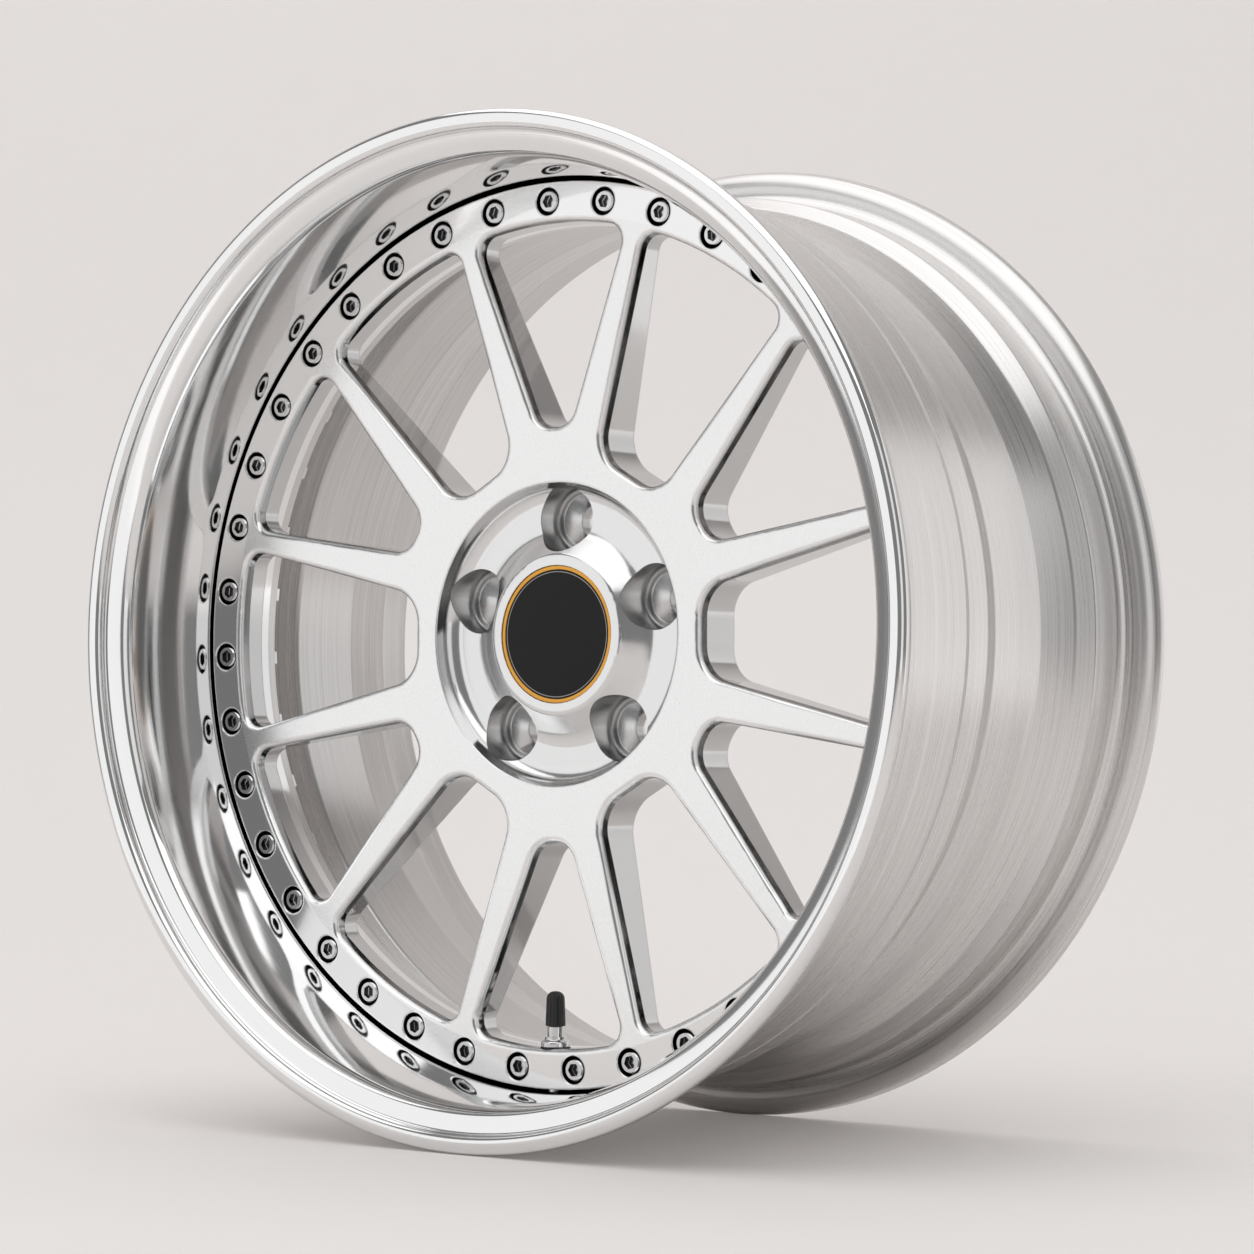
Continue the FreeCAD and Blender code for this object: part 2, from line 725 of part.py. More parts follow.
def make_bolts():
    """Socket-head bolts that hold lip, barrel and disc together"""
    body = new_body("assembly_bolts")
    sketch = new_sketch(body, "bolt_section", "YZ_Plane")
    draw_axis(sketch, "bolt_circle")
    head = "bolt_circle + bolt_head_diameter / 2"
    shank = "bolt_circle + bolt_diameter / 2"
    top = "bolt_seat - bolt_head_height"
    draw_outline(sketch, [
        (top, "bolt_circle"),
        (top, f"{head} - bolt_head_chamfer"),
        (f"{top} + bolt_head_chamfer", head),
        ("bolt_seat", head),
        ("bolt_seat", shank),
        ("bolt_end", shank),
        ("bolt_end", "bolt_circle"),
    ])
    bolt = turn(body, sketch, "Revolution", "Axis0")
    socket = new_sketch(body, "bolt_socket", "XZ_Plane", f"0 - ({top})")
    draw_hexagon(socket, "bolt_circle", "socket_across")
    repeat(body, [bolt, pocket(body, socket, "socket_depth")], "bolt_count")


def make_washers():
    """Plain washers between the barrel's flange and the nuts"""
    body = new_body("assembly_washers")
    sketch = new_sketch(body, "washer_section", "YZ_Plane")
    draw_axis(sketch, "bolt_circle")
    inner = "bolt_circle + bolt_diameter / 2 + bolt_clearance"
    outer = "bolt_circle + washer_diameter / 2"
    draw_outline(sketch, [
        ("flange_back", inner),
        ("flange_back", outer),
        ("nut_seat", outer),
        ("nut_seat", inner),
    ])
    repeat(body, [turn(body, sketch, "Revolution", "Axis0")], "bolt_count")


def make_nuts():
    """Hexagon nuts on the bolts' rear ends"""
    body = new_body("assembly_nuts")
    outline = new_sketch(body, "nut_outline", "XZ_Plane", "0 - nut_end")
    draw_hexagon(outline, "bolt_circle", "nut_across")
    block = pad(body, outline, "nut_height")
    thread = new_sketch(body, "nut_thread", "XZ_Plane", "0 - nut_seat")
    draw_circle(thread, "bolt_circle", "bolt_diameter + 2 * thread_gap")
    repeat(body, [block, pocket(body, thread)], "bolt_count")


def make_valve():
    """Clamp-in tyre valve that passes through the disc's ring and the lip's wall"""
    bore = "stem_diameter / 2 + thread_gap"
    on_valve(turned_piece("valve_stem", "XZ_Plane", [
        ("stem_passage / 2", "stem_head - stem_head_height"),
        ("stem_head_diameter / 2", "stem_head - stem_head_height", "stem_head_height / 3"),
        ("stem_head_diameter / 2", "stem_head"),
        ("stem_diameter / 2", "stem_head"),
        ("stem_diameter / 2", "cap_start"),
        ("stem_thread / 2", "thread_start"),
        ("stem_thread / 2", "stem_reach"),
        ("core_chamber / 2", "stem_reach"),
        ("core_chamber / 2", "stem_reach - core_chamber_depth"),
        ("stem_passage / 2", "stem_reach - core_chamber_depth"),
    ]))
    on_valve(turned_piece("valve_outer_seal", "XZ_Plane", [
        (bore, "0"),
        ("outer_seal_diameter / 2", "0"),
        ("outer_seal_diameter / 2", "outer_seal_height"),
        (bore, "outer_seal_height"),
    ]))
    on_valve(turned_piece("valve_inner_seal", "XZ_Plane", [
        (bore, "stem_head"),
        ("inner_seal_diameter / 2", "stem_head"),
        ("inner_seal_diameter / 2", "valve_back"),
        (bore, "valve_back"),
    ]))
    on_valve(turned_piece("valve_collar", "XZ_Plane", [
        (bore, "outer_seal_height"),
        ("collar_diameter / 2", "outer_seal_height", "collar_skirt / 6"),
        ("collar_diameter / 2", "outer_seal_height + collar_skirt", "collar_skirt / 2"),
        ("collar_neck / 2", "collar_top - collar_skirt / 2", "collar_skirt / 3"),
        ("collar_neck / 2", "collar_top"),
        (bore, "collar_top"),
    ]))
    make_valve_core()
    make_valve_cap()


def make_valve_core():
    """Valve core: housing, sprung pin with its sealing plug, and the return spring"""
    guide = "pin_diameter / 2 + pin_gap"
    housing = "core_chamber / 2 - core_gap"
    on_valve(turned_piece("valve_core", "XZ_Plane", [
        (guide, "core_foot"),
        (housing, "core_foot"),
        (housing, "core_top"),
        (guide, "core_top"),
        (guide, "core_top - core_web"),
        ("core_bore / 2", "core_top - core_web"),
        ("core_bore / 2", "core_foot + core_web"),
        (guide, "core_foot + core_web"),
    ]))
    on_valve(turned_piece("valve_pin", "XZ_Plane", [
        ("0", "pin_foot"),
        ("pin_plug / 2", "pin_foot"),
        ("pin_plug / 2", "core_foot - pin_plug_gap"),
        ("pin_diameter / 2", "core_foot - pin_plug_gap"),
        ("pin_diameter / 2", "pin_collar_top - pin_collar_height"),
        ("pin_collar / 2", "pin_collar_top - pin_collar_height"),
        ("pin_collar / 2", "pin_collar_top"),
        ("pin_diameter / 2", "pin_collar_top"),
        ("pin_diameter / 2", "pin_top"),
        ("0", "pin_top"),
    ]))
    make_core_spring()


def make_core_spring():
    """Wire spring wound between the housing's foot and the pin's collar"""
    coil = "(pin_diameter + core_bore) / 4"
    path = doc.addObject("Part::Helix", "spring_path")
    path.setExpression("Pitch", formula("(spring_top - spring_foot) / spring_turns"))
    path.setExpression("Height", formula("spring_top - spring_foot"))
    path.setExpression("Radius", formula(coil))
    section = doc.addObject("Part::Circle", "spring_section")
    section.setExpression("Radius", formula("spring_wire / 2"))
    section.setExpression("Placement.Base.x", formula(coil))
    section.Placement.Rotation = FreeCAD.Rotation(FreeCAD.Vector(1, 0, 0), 90)
    doc.recompute()
    spring = doc.addObject("Part::Sweep", "core_spring")
    spring.Sections = [section]
    spring.Spine = (path, [f"Edge{index + 1}" for index in range(len(path.Shape.Edges))])
    spring.Solid = True
    spring.Frenet = True
    on_valve(spring, "spring_foot")


def make_valve_cap():
    """Domed screw cap over the valve's end, with its sealing ring"""
    inner = "stem_thread / 2 + thread_gap"
    outer = f"{inner} + cap_wall"
    roof = "stem_reach + cap_seal_height"
    top = f"{roof} + cap_dome"
    on_valve(turned_piece("valve_cap", "XZ_Plane", [
        (inner, "thread_start"),
        (outer, "thread_start"),
        (f"{outer} - cap_taper", top, "stem_thread / 2"),
        ("0", top),
        ("0", roof),
        (inner, roof),
    ]))
    on_valve(turned_piece("valve_cap_seal", "XZ_Plane", [
        ("core_chamber / 2", "stem_reach"),
        ("stem_thread / 2", "stem_reach"),
        ("stem_thread / 2", roof),
        ("core_chamber / 2", roof),
    ]))


def make_centre_cap():
    """Snap-in centre cap: moulded body with legs, spring ring, face disc and trim ring"""
    inner = "leg_radius - leg_wall"
    barb = "leg_radius + barb_reach"
    body = turned_piece("cap_body", "XY_Plane", [
        ("0", "recess_floor"),
        (inner, "recess_floor"),
        (inner, "leg_end"),
        ("leg_radius", "leg_end"),
        (barb, "barb_start + barb_height"),
        (barb, "barb_start"),
        ("leg_radius", "barb_start"),
        ("leg_radius", "recess_floor"),
        ("cap_radius", "recess_floor"),
        ("cap_radius", "plate_face"),
        ("0", "plate_face"),
    ])
    slot = new_sketch(body, "leg_slot", "XZ_Plane", "0 - recess_floor")
    draw_outline(slot, [
        ("0 - leg_slot / 2", f"{inner} - leg_wall"),
        ("leg_slot / 2", f"{inner} - leg_wall"),
        ("leg_slot / 2", f"{barb} + leg_wall"),
        ("0 - leg_slot / 2", f"{barb} + leg_wall"),
    ])
    repeat(body, [pocket(body, slot, "leg_length")], "leg_count")
    turned_piece("cap_trim_ring", "XY_Plane", [
        ("cap_radius - trim_width", "plate_face"),
        ("cap_radius", "plate_face"),
        ("cap_radius", "plate_face - trim_height", "trim_height / 2"),
        ("cap_radius - trim_width", "plate_face - trim_height", "trim_height / 4"),
    ])
    make_badge()
    wire = "spring_ring_wire / 2"
    ring = doc.addObject("Part::Torus", "cap_spring_ring")
    ring.Label = "cap_spring_ring"
    ring.setExpression("Radius1", formula(f"{inner} - {wire} - badge_gap"))
    ring.setExpression("Radius2", formula(wire))
    ring.setExpression("Placement.Base.y", formula("barb_start + barb_height / 2"))
    ring.Placement.Rotation = FreeCAD.Rotation(FreeCAD.Vector(1, 0, 0), 90)


def make_badge():
    """Plain face disc of the cap, slightly crowned"""
    turned_piece("cap_badge", "XY_Plane", [
        ("0", "plate_face"),
        ("badge_radius", "plate_face"),
        ("badge_radius", "plate_face - badge_height"),
        ("badge_radius * crown_share", "plate_face - badge_height - badge_crown", "badge_radius"),
        ("0", "plate_face - badge_height - badge_crown"),
    ])


NODES = [
    "outer_lip", "inner_barrel", "centre_disc", "rim_seal",
    "assembly_bolts", "assembly_washers", "assembly_nuts",
    "valve_stem", "valve_outer_seal", "valve_inner_seal", "valve_collar",
    "valve_core", "valve_pin", "core_spring", "valve_cap", "valve_cap_seal",
    "cap_body", "cap_trim_ring", "cap_badge", "cap_spring_ring",
]


def write_parts():
    """Check every object, then write each sub-part to its file"""
    for item in doc.Objects:
        if "Invalid" in item.State or "Error" in item.State:
            raise RuntimeError(f"{item.Name} did not build: {item.State}")
    for node in NODES:
        shape = doc.getObject(node).Shape
        if shape.isNull() or not shape.isValid() or not shape.Solids:
            raise RuntimeError(f"{node} is not a valid solid")
    os.makedirs("parts", exist_ok=True)
    for node in NODES:
        shape = doc.getObject(node).Shape
        print(f"{node}: {len(shape.Solids)} solids, {shape.Volume / 1000:.2f} cm3")
        shape.exportStep(f"parts/{node}.step")


fill_sheet()
make_lip()
make_barrel()
make_disc()
make_seal()
make_bolts()
make_washers()
make_nuts()
make_valve()
make_centre_cap()
doc.recompute()
write_parts()
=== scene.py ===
import math

import bmesh
import bpy
from bpy.props import FloatProperty, FloatVectorProperty, IntProperty, PointerProperty, StringProperty
from bpy.types import Operator, Panel, PropertyGroup
from mathutils import Matrix, Vector


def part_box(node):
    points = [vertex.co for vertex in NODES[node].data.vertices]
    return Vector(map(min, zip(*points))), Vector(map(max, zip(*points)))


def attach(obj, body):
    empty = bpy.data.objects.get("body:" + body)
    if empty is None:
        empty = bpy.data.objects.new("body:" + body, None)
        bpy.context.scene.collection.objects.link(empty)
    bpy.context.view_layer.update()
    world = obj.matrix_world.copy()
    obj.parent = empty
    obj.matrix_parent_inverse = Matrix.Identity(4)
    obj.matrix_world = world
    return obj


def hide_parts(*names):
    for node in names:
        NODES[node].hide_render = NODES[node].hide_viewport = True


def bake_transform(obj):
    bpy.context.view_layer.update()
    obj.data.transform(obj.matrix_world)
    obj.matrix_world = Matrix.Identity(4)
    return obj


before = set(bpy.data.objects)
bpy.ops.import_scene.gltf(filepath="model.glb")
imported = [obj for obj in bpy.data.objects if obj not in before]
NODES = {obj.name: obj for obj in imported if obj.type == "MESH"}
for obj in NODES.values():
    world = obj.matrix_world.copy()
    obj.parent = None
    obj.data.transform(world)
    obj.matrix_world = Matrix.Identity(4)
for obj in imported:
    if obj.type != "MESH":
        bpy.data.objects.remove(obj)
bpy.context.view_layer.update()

bl_info = {
    "name": "Three-piece wheel",
    "version": (1, 0, 0),
    "blender": (4, 5, 0),
    "location": "View3D > Sidebar > Wheel",
    "description": "Finishes a bolted three-piece car wheel and stands it on a pale studio floor",
    "category": "Object",
}

MM = 0.001

# Places read from the frame, in metres
DISC_LOW, DISC_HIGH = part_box("centre_disc")
LIP_LOW, LIP_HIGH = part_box("outer_lip")
BARREL_LOW, BARREL_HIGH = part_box("inner_barrel")
BOLT_LOW, BOLT_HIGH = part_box("assembly_bolts")
CAP_LOW, CAP_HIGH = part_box("valve_cap")
BADGE_LOW, BADGE_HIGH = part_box("cap_badge")
RING_FACE = DISC_LOW[1]
DISC_RADIUS = DISC_HIGH[0]
RIM_RADIUS = LIP_HIGH[2]


def linear(text):
    """Turn an sRGB hex colour into linear red, green, blue and alpha"""
    parts = [int(text[place:place + 2], 16) / 255 for place in (1, 3, 5)]
    return [part / 12.92 if part <= 0.04045 else ((part + 0.055) / 1.055) ** 2.4 for part in parts] + [1.0]


def node(tree, kind, inputs=None, **settings):
    """Add a node, give it its settings, and set or link each input named or numbered in a dictionary"""
    made = tree.nodes.new(kind)
    for name, value in settings.items():
        setattr(made, name, value)
    for key, value in (inputs or {}).items():
        if isinstance(value, bpy.types.NodeSocket):
            tree.links.new(value, made.inputs[key])
        else:
            made.inputs[key].default_value = value
    return made


def new_material(name):
    """Start a node material, and give it with its tree and its surface shader"""
    material = bpy.data.materials.new(name)
    material.use_nodes = True
    tree = material.node_tree
    tree.nodes.clear()
    shader = node(tree, "ShaderNodeBsdfPrincipled")
    node(tree, "ShaderNodeOutputMaterial", {"Surface": shader.outputs[0]})
    return material, tree, shader


def wheel_places(tree):
    """Give a point's place, its distance from the axle and its place along the axle"""
    place = node(tree, "ShaderNodeTexCoord").outputs["Object"]
    flat = node(tree, "ShaderNodeVectorMath", {0: place, 1: (1, 0, 1)}, operation="MULTIPLY")
    radius = node(tree, "ShaderNodeVectorMath", {0: flat.outputs[0]}, operation="LENGTH").outputs["Value"]
    along = node(tree, "ShaderNodeSeparateXYZ", {0: place}).outputs["Y"]
    return place, radius, along


def turning_lines(tree, spacing_mm):
    """Give a noise that runs round the axle in fine rings, as a lathe or a polishing wheel leaves"""
    place, radius, along = wheel_places(tree)
    angle_drift = node(tree, "ShaderNodeTexNoise", {"Vector": place, "Scale": 6.0, "Detail": 1.0})
    drift = node(tree, "ShaderNodeMath", {0: angle_drift.outputs["Fac"], 1: 4 * MM}, operation="MULTIPLY")
    across = node(tree, "ShaderNodeCombineXYZ", {"X": radius, "Y": along, "Z": drift.outputs[0]})
    scale = 1 / (spacing_mm * MM)
    return node(tree, "ShaderNodeTexNoise", {"Vector": across.outputs[0], "Scale": scale, "Detail": 3.0,
                                            "Roughness": 0.65}).outputs["Fac"]


def spread(tree, value, low, high):
    """Stretch a noise from 0.3 to 0.7 over a range"""
    return node(tree, "ShaderNodeMapRange", {"Value": value, "From Min": 0.3, "From Max": 0.7, "To Min": low,
                                             "To Max": high}).outputs["Result"]


def below(tree, value, edge, soft):
    """Give 1 where a value lies under an edge and 0 above it, softened over a width"""
    start, end = edge - soft / 2, edge + soft / 2
    return node(tree, "ShaderNodeMapRange", {"Value": value, "From Min": start, "From Max": end,
                                             "To Min": 1.0, "To Max": 0.0}).outputs["Result"]


def speckle(tree, place, size_mm, detail=2.0):
    """Give an even noise whose grains have a size in millimetres"""
    settings = {"Vector": place, "Scale": 1 / (size_mm * MM), "Detail": detail}
    return node(tree, "ShaderNodeTexNoise", settings).outputs["Fac"]


def dress(name, material):
    """Give a node of the frame its finished material"""
    mesh = NODES[name].data
    mesh.materials.clear()
    mesh.materials.append(material)


def round_corner(mesh_data, corner, radius, segments=7):
    """Round one corner of a wire outline to an arc of the given radius"""
    to_first, to_second = [edge.other_vert(corner).co - corner.co for edge in corner.link_edges]
    reach = radius / math.tan(to_first.angle(to_second) / 2)
    bmesh.ops.bevel(mesh_data, geom=[corner], offset=reach, segments=segments, profile=0.5, affect="VERTICES",
                    material=-1)


def turned_section(corners, steps):
    """Turn a closed section round the axle; corners are (radius, place along the axle, rounding)"""
    mesh_data = bmesh.new()
    verts = [mesh_data.verts.new((radius, along, 0)) for radius, along, rounding in corners]
    for first, second in zip(verts, verts[1:] + verts[:1]):
        mesh_data.edges.new((first, second))
    for vert, (radius, along, rounding) in zip(verts, corners):
        if rounding:
            round_corner(mesh_data, vert, rounding)
    outline = mesh_data.verts[:] + mesh_data.edges[:]
    bmesh.ops.spin(mesh_data, geom=outline, cent=(0, 0, 0), axis=(0, 1, 0), angle=2 * math.pi, steps=steps,
                   use_merge=True)
    return mesh_data


def away_from_axle(face):
    """Give the share of a face's direction that points away from the axle"""
    middle = face.calc_center_median()
    return face.normal.dot(Vector((middle.x, 0, middle.z)).normalized())


def soften(mesh_data):
    """Shade smoothly, apart from edges that turn sharply"""
    for face in mesh_data.faces:
        face.smooth = True
    for edge in mesh_data.edges:
        edge.smooth = edge.calc_face_angle(0.0) < math.radians(32)


def keep_piece(mesh_data, name, materials, replaced):
    """Make a finished piece from a bmesh, which takes the place of a node"""
    mesh = bpy.data.meshes.new(name)
    bmesh.ops.remove_doubles(mesh_data, verts=mesh_data.verts, dist=0.002 * MM)
    bmesh.ops.recalc_face_normals(mesh_data, faces=mesh_data.faces)
    soften(mesh_data)
    mesh_data.to_mesh(mesh)
    mesh_data.free()
    for material in materials:
        mesh.materials.append(material)
    piece = bpy.data.objects.new(name, mesh)
    bpy.context.scene.collection.objects.link(piece)
    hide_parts(replaced)
    return piece


def combine(tree, operation, first, second):
    """Work out one sum, product, greater or lesser of two values"""
    return node(tree, "ShaderNodeMath", {0: first, 1: second}, operation=operation).outputs[0]


def blend(tree, share, first, second):
    """Mix two colours, given as linear values or as sockets"""
    mixed = node(tree, "ShaderNodeMix", {"Factor": share, "A": first, "B": second}, data_type="RGBA")
    return mixed.outputs["Result"]


def ring_distance(tree, place, radius, count, circle):
    """Give the distance to the nearest of a ring of axes, by folding the angle round the axle"""
    parts = node(tree, "ShaderNodeSeparateXYZ", {0: place})
    angle = combine(tree, "ARCTAN2", parts.outputs["X"], parts.outputs["Z"])
    share = combine(tree, "DIVIDE", angle, 2 * math.pi / count)
    nearest = node(tree, "ShaderNodeMath", {0: share}, operation="ROUND").outputs[0]
    offset = combine(tree, "MULTIPLY", combine(tree, "SUBTRACT", share, nearest), 2 * math.pi / count)
    sine = node(tree, "ShaderNodeMath", {0: offset}, operation="SINE").outputs[0]
    cosine = node(tree, "ShaderNodeMath", {0: offset}, operation="COSINE").outputs[0]
    sideways = combine(tree, "MULTIPLY", radius, sine)
    outwards = combine(tree, "SUBTRACT", combine(tree, "MULTIPLY", radius, cosine), circle)
    gap = node(tree, "ShaderNodeCombineXYZ", {"X": sideways, "Y": outwards})
    return node(tree, "ShaderNodeVectorMath", {0: gap.outputs[0]}, operation="LENGTH").outputs["Value"]


def polished_aluminium():
    """Mirror-polished forged aluminium: clear reflections, faintly drawn out round the axle, with painted
    shade in the gap beside the disc
    """
    material, tree, shader = new_material("polished_aluminium")
    _, radius, along = wheel_places(tree)
    lines = turning_lines(tree, 0.9)
    # painted shade: the lip's wall in the gap beside the disc is coloured near-black, standing in for the
    # shade deep in the gap
    finish = bpy.context.scene.wheel_finish
    before_slot = below(tree, along, RING_FACE + 1.2 * MM, 0.6 * MM)
    inside_wall = below(tree, radius, DISC_RADIUS + 2.6 * MM, 0.1 * MM)
    inside_disc = below(tree, radius, DISC_RADIUS, 0.1 * MM)
    in_gap = combine(tree, "SUBTRACT", inside_wall, inside_disc)
    painted_slot_shade = combine(tree, "MULTIPLY", combine(tree, "SUBTRACT", 1.0, before_slot), in_gap)
    colour = blend(tree, painted_slot_shade, linear(finish.polished), linear(finish.slot))
    tree.links.new(colour, shader.inputs["Base Color"])
    tree.links.new(spread(tree, lines, 0.05, 0.11), shader.inputs["Roughness"])
    bump = node(tree, "ShaderNodeBump", {"Height": lines, "Strength": 0.025, "Distance": 0.05 * MM})
    tree.links.new(bump.outputs[0], shader.inputs["Normal"])
    shader.inputs["Metallic"].default_value = 1.0
    return material


def turned_aluminium(name, dark, light, low, high):
    """Satin lathe-turned aluminium: fine rings round the axle that soften every reflection"""
    material, tree, shader = new_material(name)
    fine = turning_lines(tree, 1.1)
    tone = blend(tree, spread(tree, fine, 0.0, 1.0), linear(dark), linear(light))
    tree.links.new(tone, shader.inputs["Base Color"])
    tree.links.new(spread(tree, fine, low, high), shader.inputs["Roughness"])
    bump = node(tree, "ShaderNodeBump", {"Height": fine, "Strength": 0.05, "Distance": 0.05 * MM})
    tree.links.new(bump.outputs[0], shader.inputs["Normal"])
    shader.inputs["Metallic"].default_value = 1.0
    return material


def milled_aluminium():
    """Machined centre: satin spokes, polished ring and edges, dull lug pockets; painted shade on the windows'
    walls, in the lug pockets, nearly black in the bolt recesses and on the ring's edge in the gap
    """
    material, tree, shader = new_material("milled_aluminium")
    finish = bpy.context.scene.wheel_finish
    sizes = bpy.context.scene.wheel_sizes
    place, radius, along = wheel_places(tree)
    lines = turning_lines(tree, 0.8)
    grain = speckle(tree, place, 0.7)
    in_dish = below(tree, radius, sizes.dish_radius, 1.0 * MM)
    cone_start = DISC_RADIUS - sizes.ring_border
    in_spokes = combine(tree, "SUBTRACT", below(tree, radius, cone_start, 1.0 * MM), in_dish)
    normal = node(tree, "ShaderNodeTexCoord").outputs["Normal"]
    facing = node(tree, "ShaderNodeSeparateXYZ", {0: normal}).outputs["Y"]
    front_face = combine(tree, "MULTIPLY", in_spokes, below(tree, facing, -0.97, 0.02))
    # the spokes' faces rise in a shallow cone from ring to dish, and the windows' walls lean at the front
    rise = node(tree, "ShaderNodeMapRange", {"Value": radius, "From Min": sizes.dish_radius,
                                             "From Max": cone_start, "To Min": sizes.face_rise,
                                             "To Max": 0.0}).outputs["Result"]
    depth = combine(tree, "SUBTRACT", combine(tree, "SUBTRACT", along, RING_FACE), rise)
    on_wall = combine(tree, "SUBTRACT", 1.0, below(tree, facing, -0.5, 0.2))
    in_windows = combine(tree, "SUBTRACT", below(tree, radius, cone_start + 0.4 * MM, 0.1 * MM),
                         below(tree, radius, sizes.dish_radius + 6 * MM, 0.1 * MM))
    window_wall = combine(tree, "MULTIPLY", on_wall, in_windows)
    leaning = combine(tree, "MULTIPLY", window_wall, below(tree, depth, sizes.lean_depth, 0.4 * MM))
    satin = combine(tree, "MULTIPLY", spread(tree, grain, 0.22, 0.29), front_face)
    hub = combine(tree, "MULTIPLY", spread(tree, lines, 0.17, 0.22), in_dish)
    roughness = combine(tree, "MAXIMUM", satin, hub)
    roughness = combine(tree, "MAXIMUM", roughness, spread(tree, lines, 0.05, 0.09))

    lug = ring_distance(tree, place, radius, sizes.lug_count, sizes.lug_circle)
    in_pocket = below(tree, lug, sizes.lug_pocket + 0.06 * MM, 0.06 * MM)
    in_seat = below(tree, lug, sizes.lug_seat, 0.3 * MM)
    in_hole = below(tree, lug, sizes.lug_hole + 0.05 * MM, 0.05 * MM)
    in_front = below(tree, along, DISC_HIGH[1] - 1.0 * MM, 0.1 * MM)
    # painted shade: the pockets' walls and holes are coloured darker; their raised roughness is their real
    # dull finish
    pocket = combine(tree, "ADD", combine(tree, "SUBTRACT", in_pocket, in_seat), in_hole)
    pocket = combine(tree, "MULTIPLY", pocket, in_front)
    roughness = combine(tree, "MAXIMUM", roughness, combine(tree, "MULTIPLY", pocket, 0.24))

    # painted shade: the bolt recesses and the disc's edge deep in the gap are coloured nearly black
    bolt = ring_distance(tree, place, radius, sizes.bolt_count, sizes.bolt_circle)
    recess = below(tree, bolt, sizes.recess_radius + 0.06 * MM, 0.04 * MM)
    gap_edge_shade = combine(tree, "MULTIPLY", combine(tree, "GREATER_THAN", radius, DISC_RADIUS - 0.08 * MM),
                       combine(tree, "GREATER_THAN", along, RING_FACE + 0.9 * MM))
    dark = combine(tree, "MAXIMUM", recess, gap_edge_shade)
    roughness = combine(tree, "MAXIMUM", roughness, combine(tree, "MULTIPLY", dark, 0.5))

    # painted shade: the windows' walls take a darker copy of the milled colour
    colour = blend(tree, window_wall, linear(finish.milled), linear(finish.wall))
    colour = blend(tree, pocket, colour, linear(finish.pocket))
    tree.links.new(blend(tree, dark, colour, linear(finish.recess)), shader.inputs["Base Color"])
    tree.links.new(roughness, shader.inputs["Roughness"])
    edges = node(tree, "ShaderNodeBevel", {"Radius": sizes.edge_polish}, samples=4)
    lean = node(tree, "ShaderNodeCombineXYZ", {"Y": combine(tree, "MULTIPLY", leaning, -sizes.lean)})
    leant = node(tree, "ShaderNodeVectorMath", {0: edges.outputs[0], 1: lean.outputs[0]}, operation="ADD")
    level = node(tree, "ShaderNodeVectorMath", {0: leant.outputs[0]}, operation="NORMALIZE")
    bump = node(tree, "ShaderNodeBump", {"Height": lines, "Strength": 0.01, "Distance": 0.05 * MM,
                                         "Normal": level.outputs[0]})
    tree.links.new(bump.outputs[0], shader.inputs["Normal"])
    shader.inputs["Metallic"].default_value = 1.0
    return material


def turned_dish():
    """Turned and polished dish: soft streaks of light that run outwards, as on a lathe-cut face"""
    material, tree, shader = new_material("turned_dish")
    lines = turning_lines(tree, 0.8)
    tree.links.new(spread(tree, lines, 0.13, 0.18), shader.inputs["Roughness"])
    around = node(tree, "ShaderNodeTangent", direction_type="RADIAL", axis="Y")
    tree.links.new(around.outputs[0], shader.inputs["Tangent"])
    shader.inputs["Base Color"].default_value = linear(bpy.context.scene.wheel_finish.dish)
    shader.inputs["Anisotropic"].default_value = 0.7
    shader.inputs["Anisotropic Rotation"].default_value = 0.25
    shader.inputs["Metallic"].default_value = 1.0
    return material


def socket_steel():
    """Zinc-plated bolts: bright hazy heads, with painted shade that makes their sockets' walls nearly black
    """
    material, tree, shader = new_material("plated_bolts")
    sizes = bpy.context.scene.wheel_sizes
    place, radius, along = wheel_places(tree)
    haze = speckle(tree, place, 0.9)
    bolt = ring_distance(tree, place, radius, sizes.bolt_count, sizes.bolt_circle)
    # painted shade: the socket's walls are coloured nearly black for the shade inside it, and its bottom is
    # left bright
    narrow = below(tree, bolt, sizes.socket_radius, 0.05 * MM)
    front = below(tree, along, BOLT_LOW[1] + 0.25 * MM, 0.2 * MM)
    inside = below(tree, along, BOLT_LOW[1] + sizes.socket_depth - 0.3 * MM, 0.2 * MM)
    socket = combine(tree, "MULTIPLY", narrow, combine(tree, "SUBTRACT", inside, front))
    finish = bpy.context.scene.wheel_finish
    colour = blend(tree, socket, linear(finish.bolts), linear(finish.socket))
    tree.links.new(colour, shader.inputs["Base Color"])
    tree.links.new(spread(tree, haze, 0.12, 0.22), shader.inputs["Roughness"])
    shader.inputs["Metallic"].default_value = 1.0
    return material


def plated_steel():
    """Bright zinc-plated steel: clean grey metal with a slight haze"""
    material, tree, shader = new_material("plated_steel")
    place = node(tree, "ShaderNodeTexCoord").outputs["Object"]
    haze = speckle(tree, place, 0.9)
    tree.links.new(spread(tree, haze, 0.12, 0.22), shader.inputs["Roughness"])
    shader.inputs["Base Color"].default_value = linear(bpy.context.scene.wheel_finish.bolts)
    shader.inputs["Metallic"].default_value = 1.0
    return material


def spring_steel():
    """Drawn spring wire: darker bright steel"""
    material, tree, shader = new_material("spring_steel")
    place = node(tree, "ShaderNodeTexCoord").outputs["Object"]
    haze = speckle(tree, place, 0.4)
    tree.links.new(spread(tree, haze, 0.2, 0.32), shader.inputs["Roughness"])
    shader.inputs["Base Color"].default_value = linear(bpy.context.scene.wheel_finish.spring)
    shader.inputs["Metallic"].default_value = 1.0
    return material


def turned_brass():
    """Turned brass of the valve core: warm yellow metal with fine tool marks"""
    material, tree, shader = new_material("turned_brass")
    place = node(tree, "ShaderNodeTexCoord").outputs["Object"]
    marks = speckle(tree, place, 0.3)
    tree.links.new(spread(tree, marks, 0.18, 0.3), shader.inputs["Roughness"])
    shader.inputs["Base Color"].default_value = linear(bpy.context.scene.wheel_finish.brass)
    shader.inputs["Metallic"].default_value = 1.0
    return material


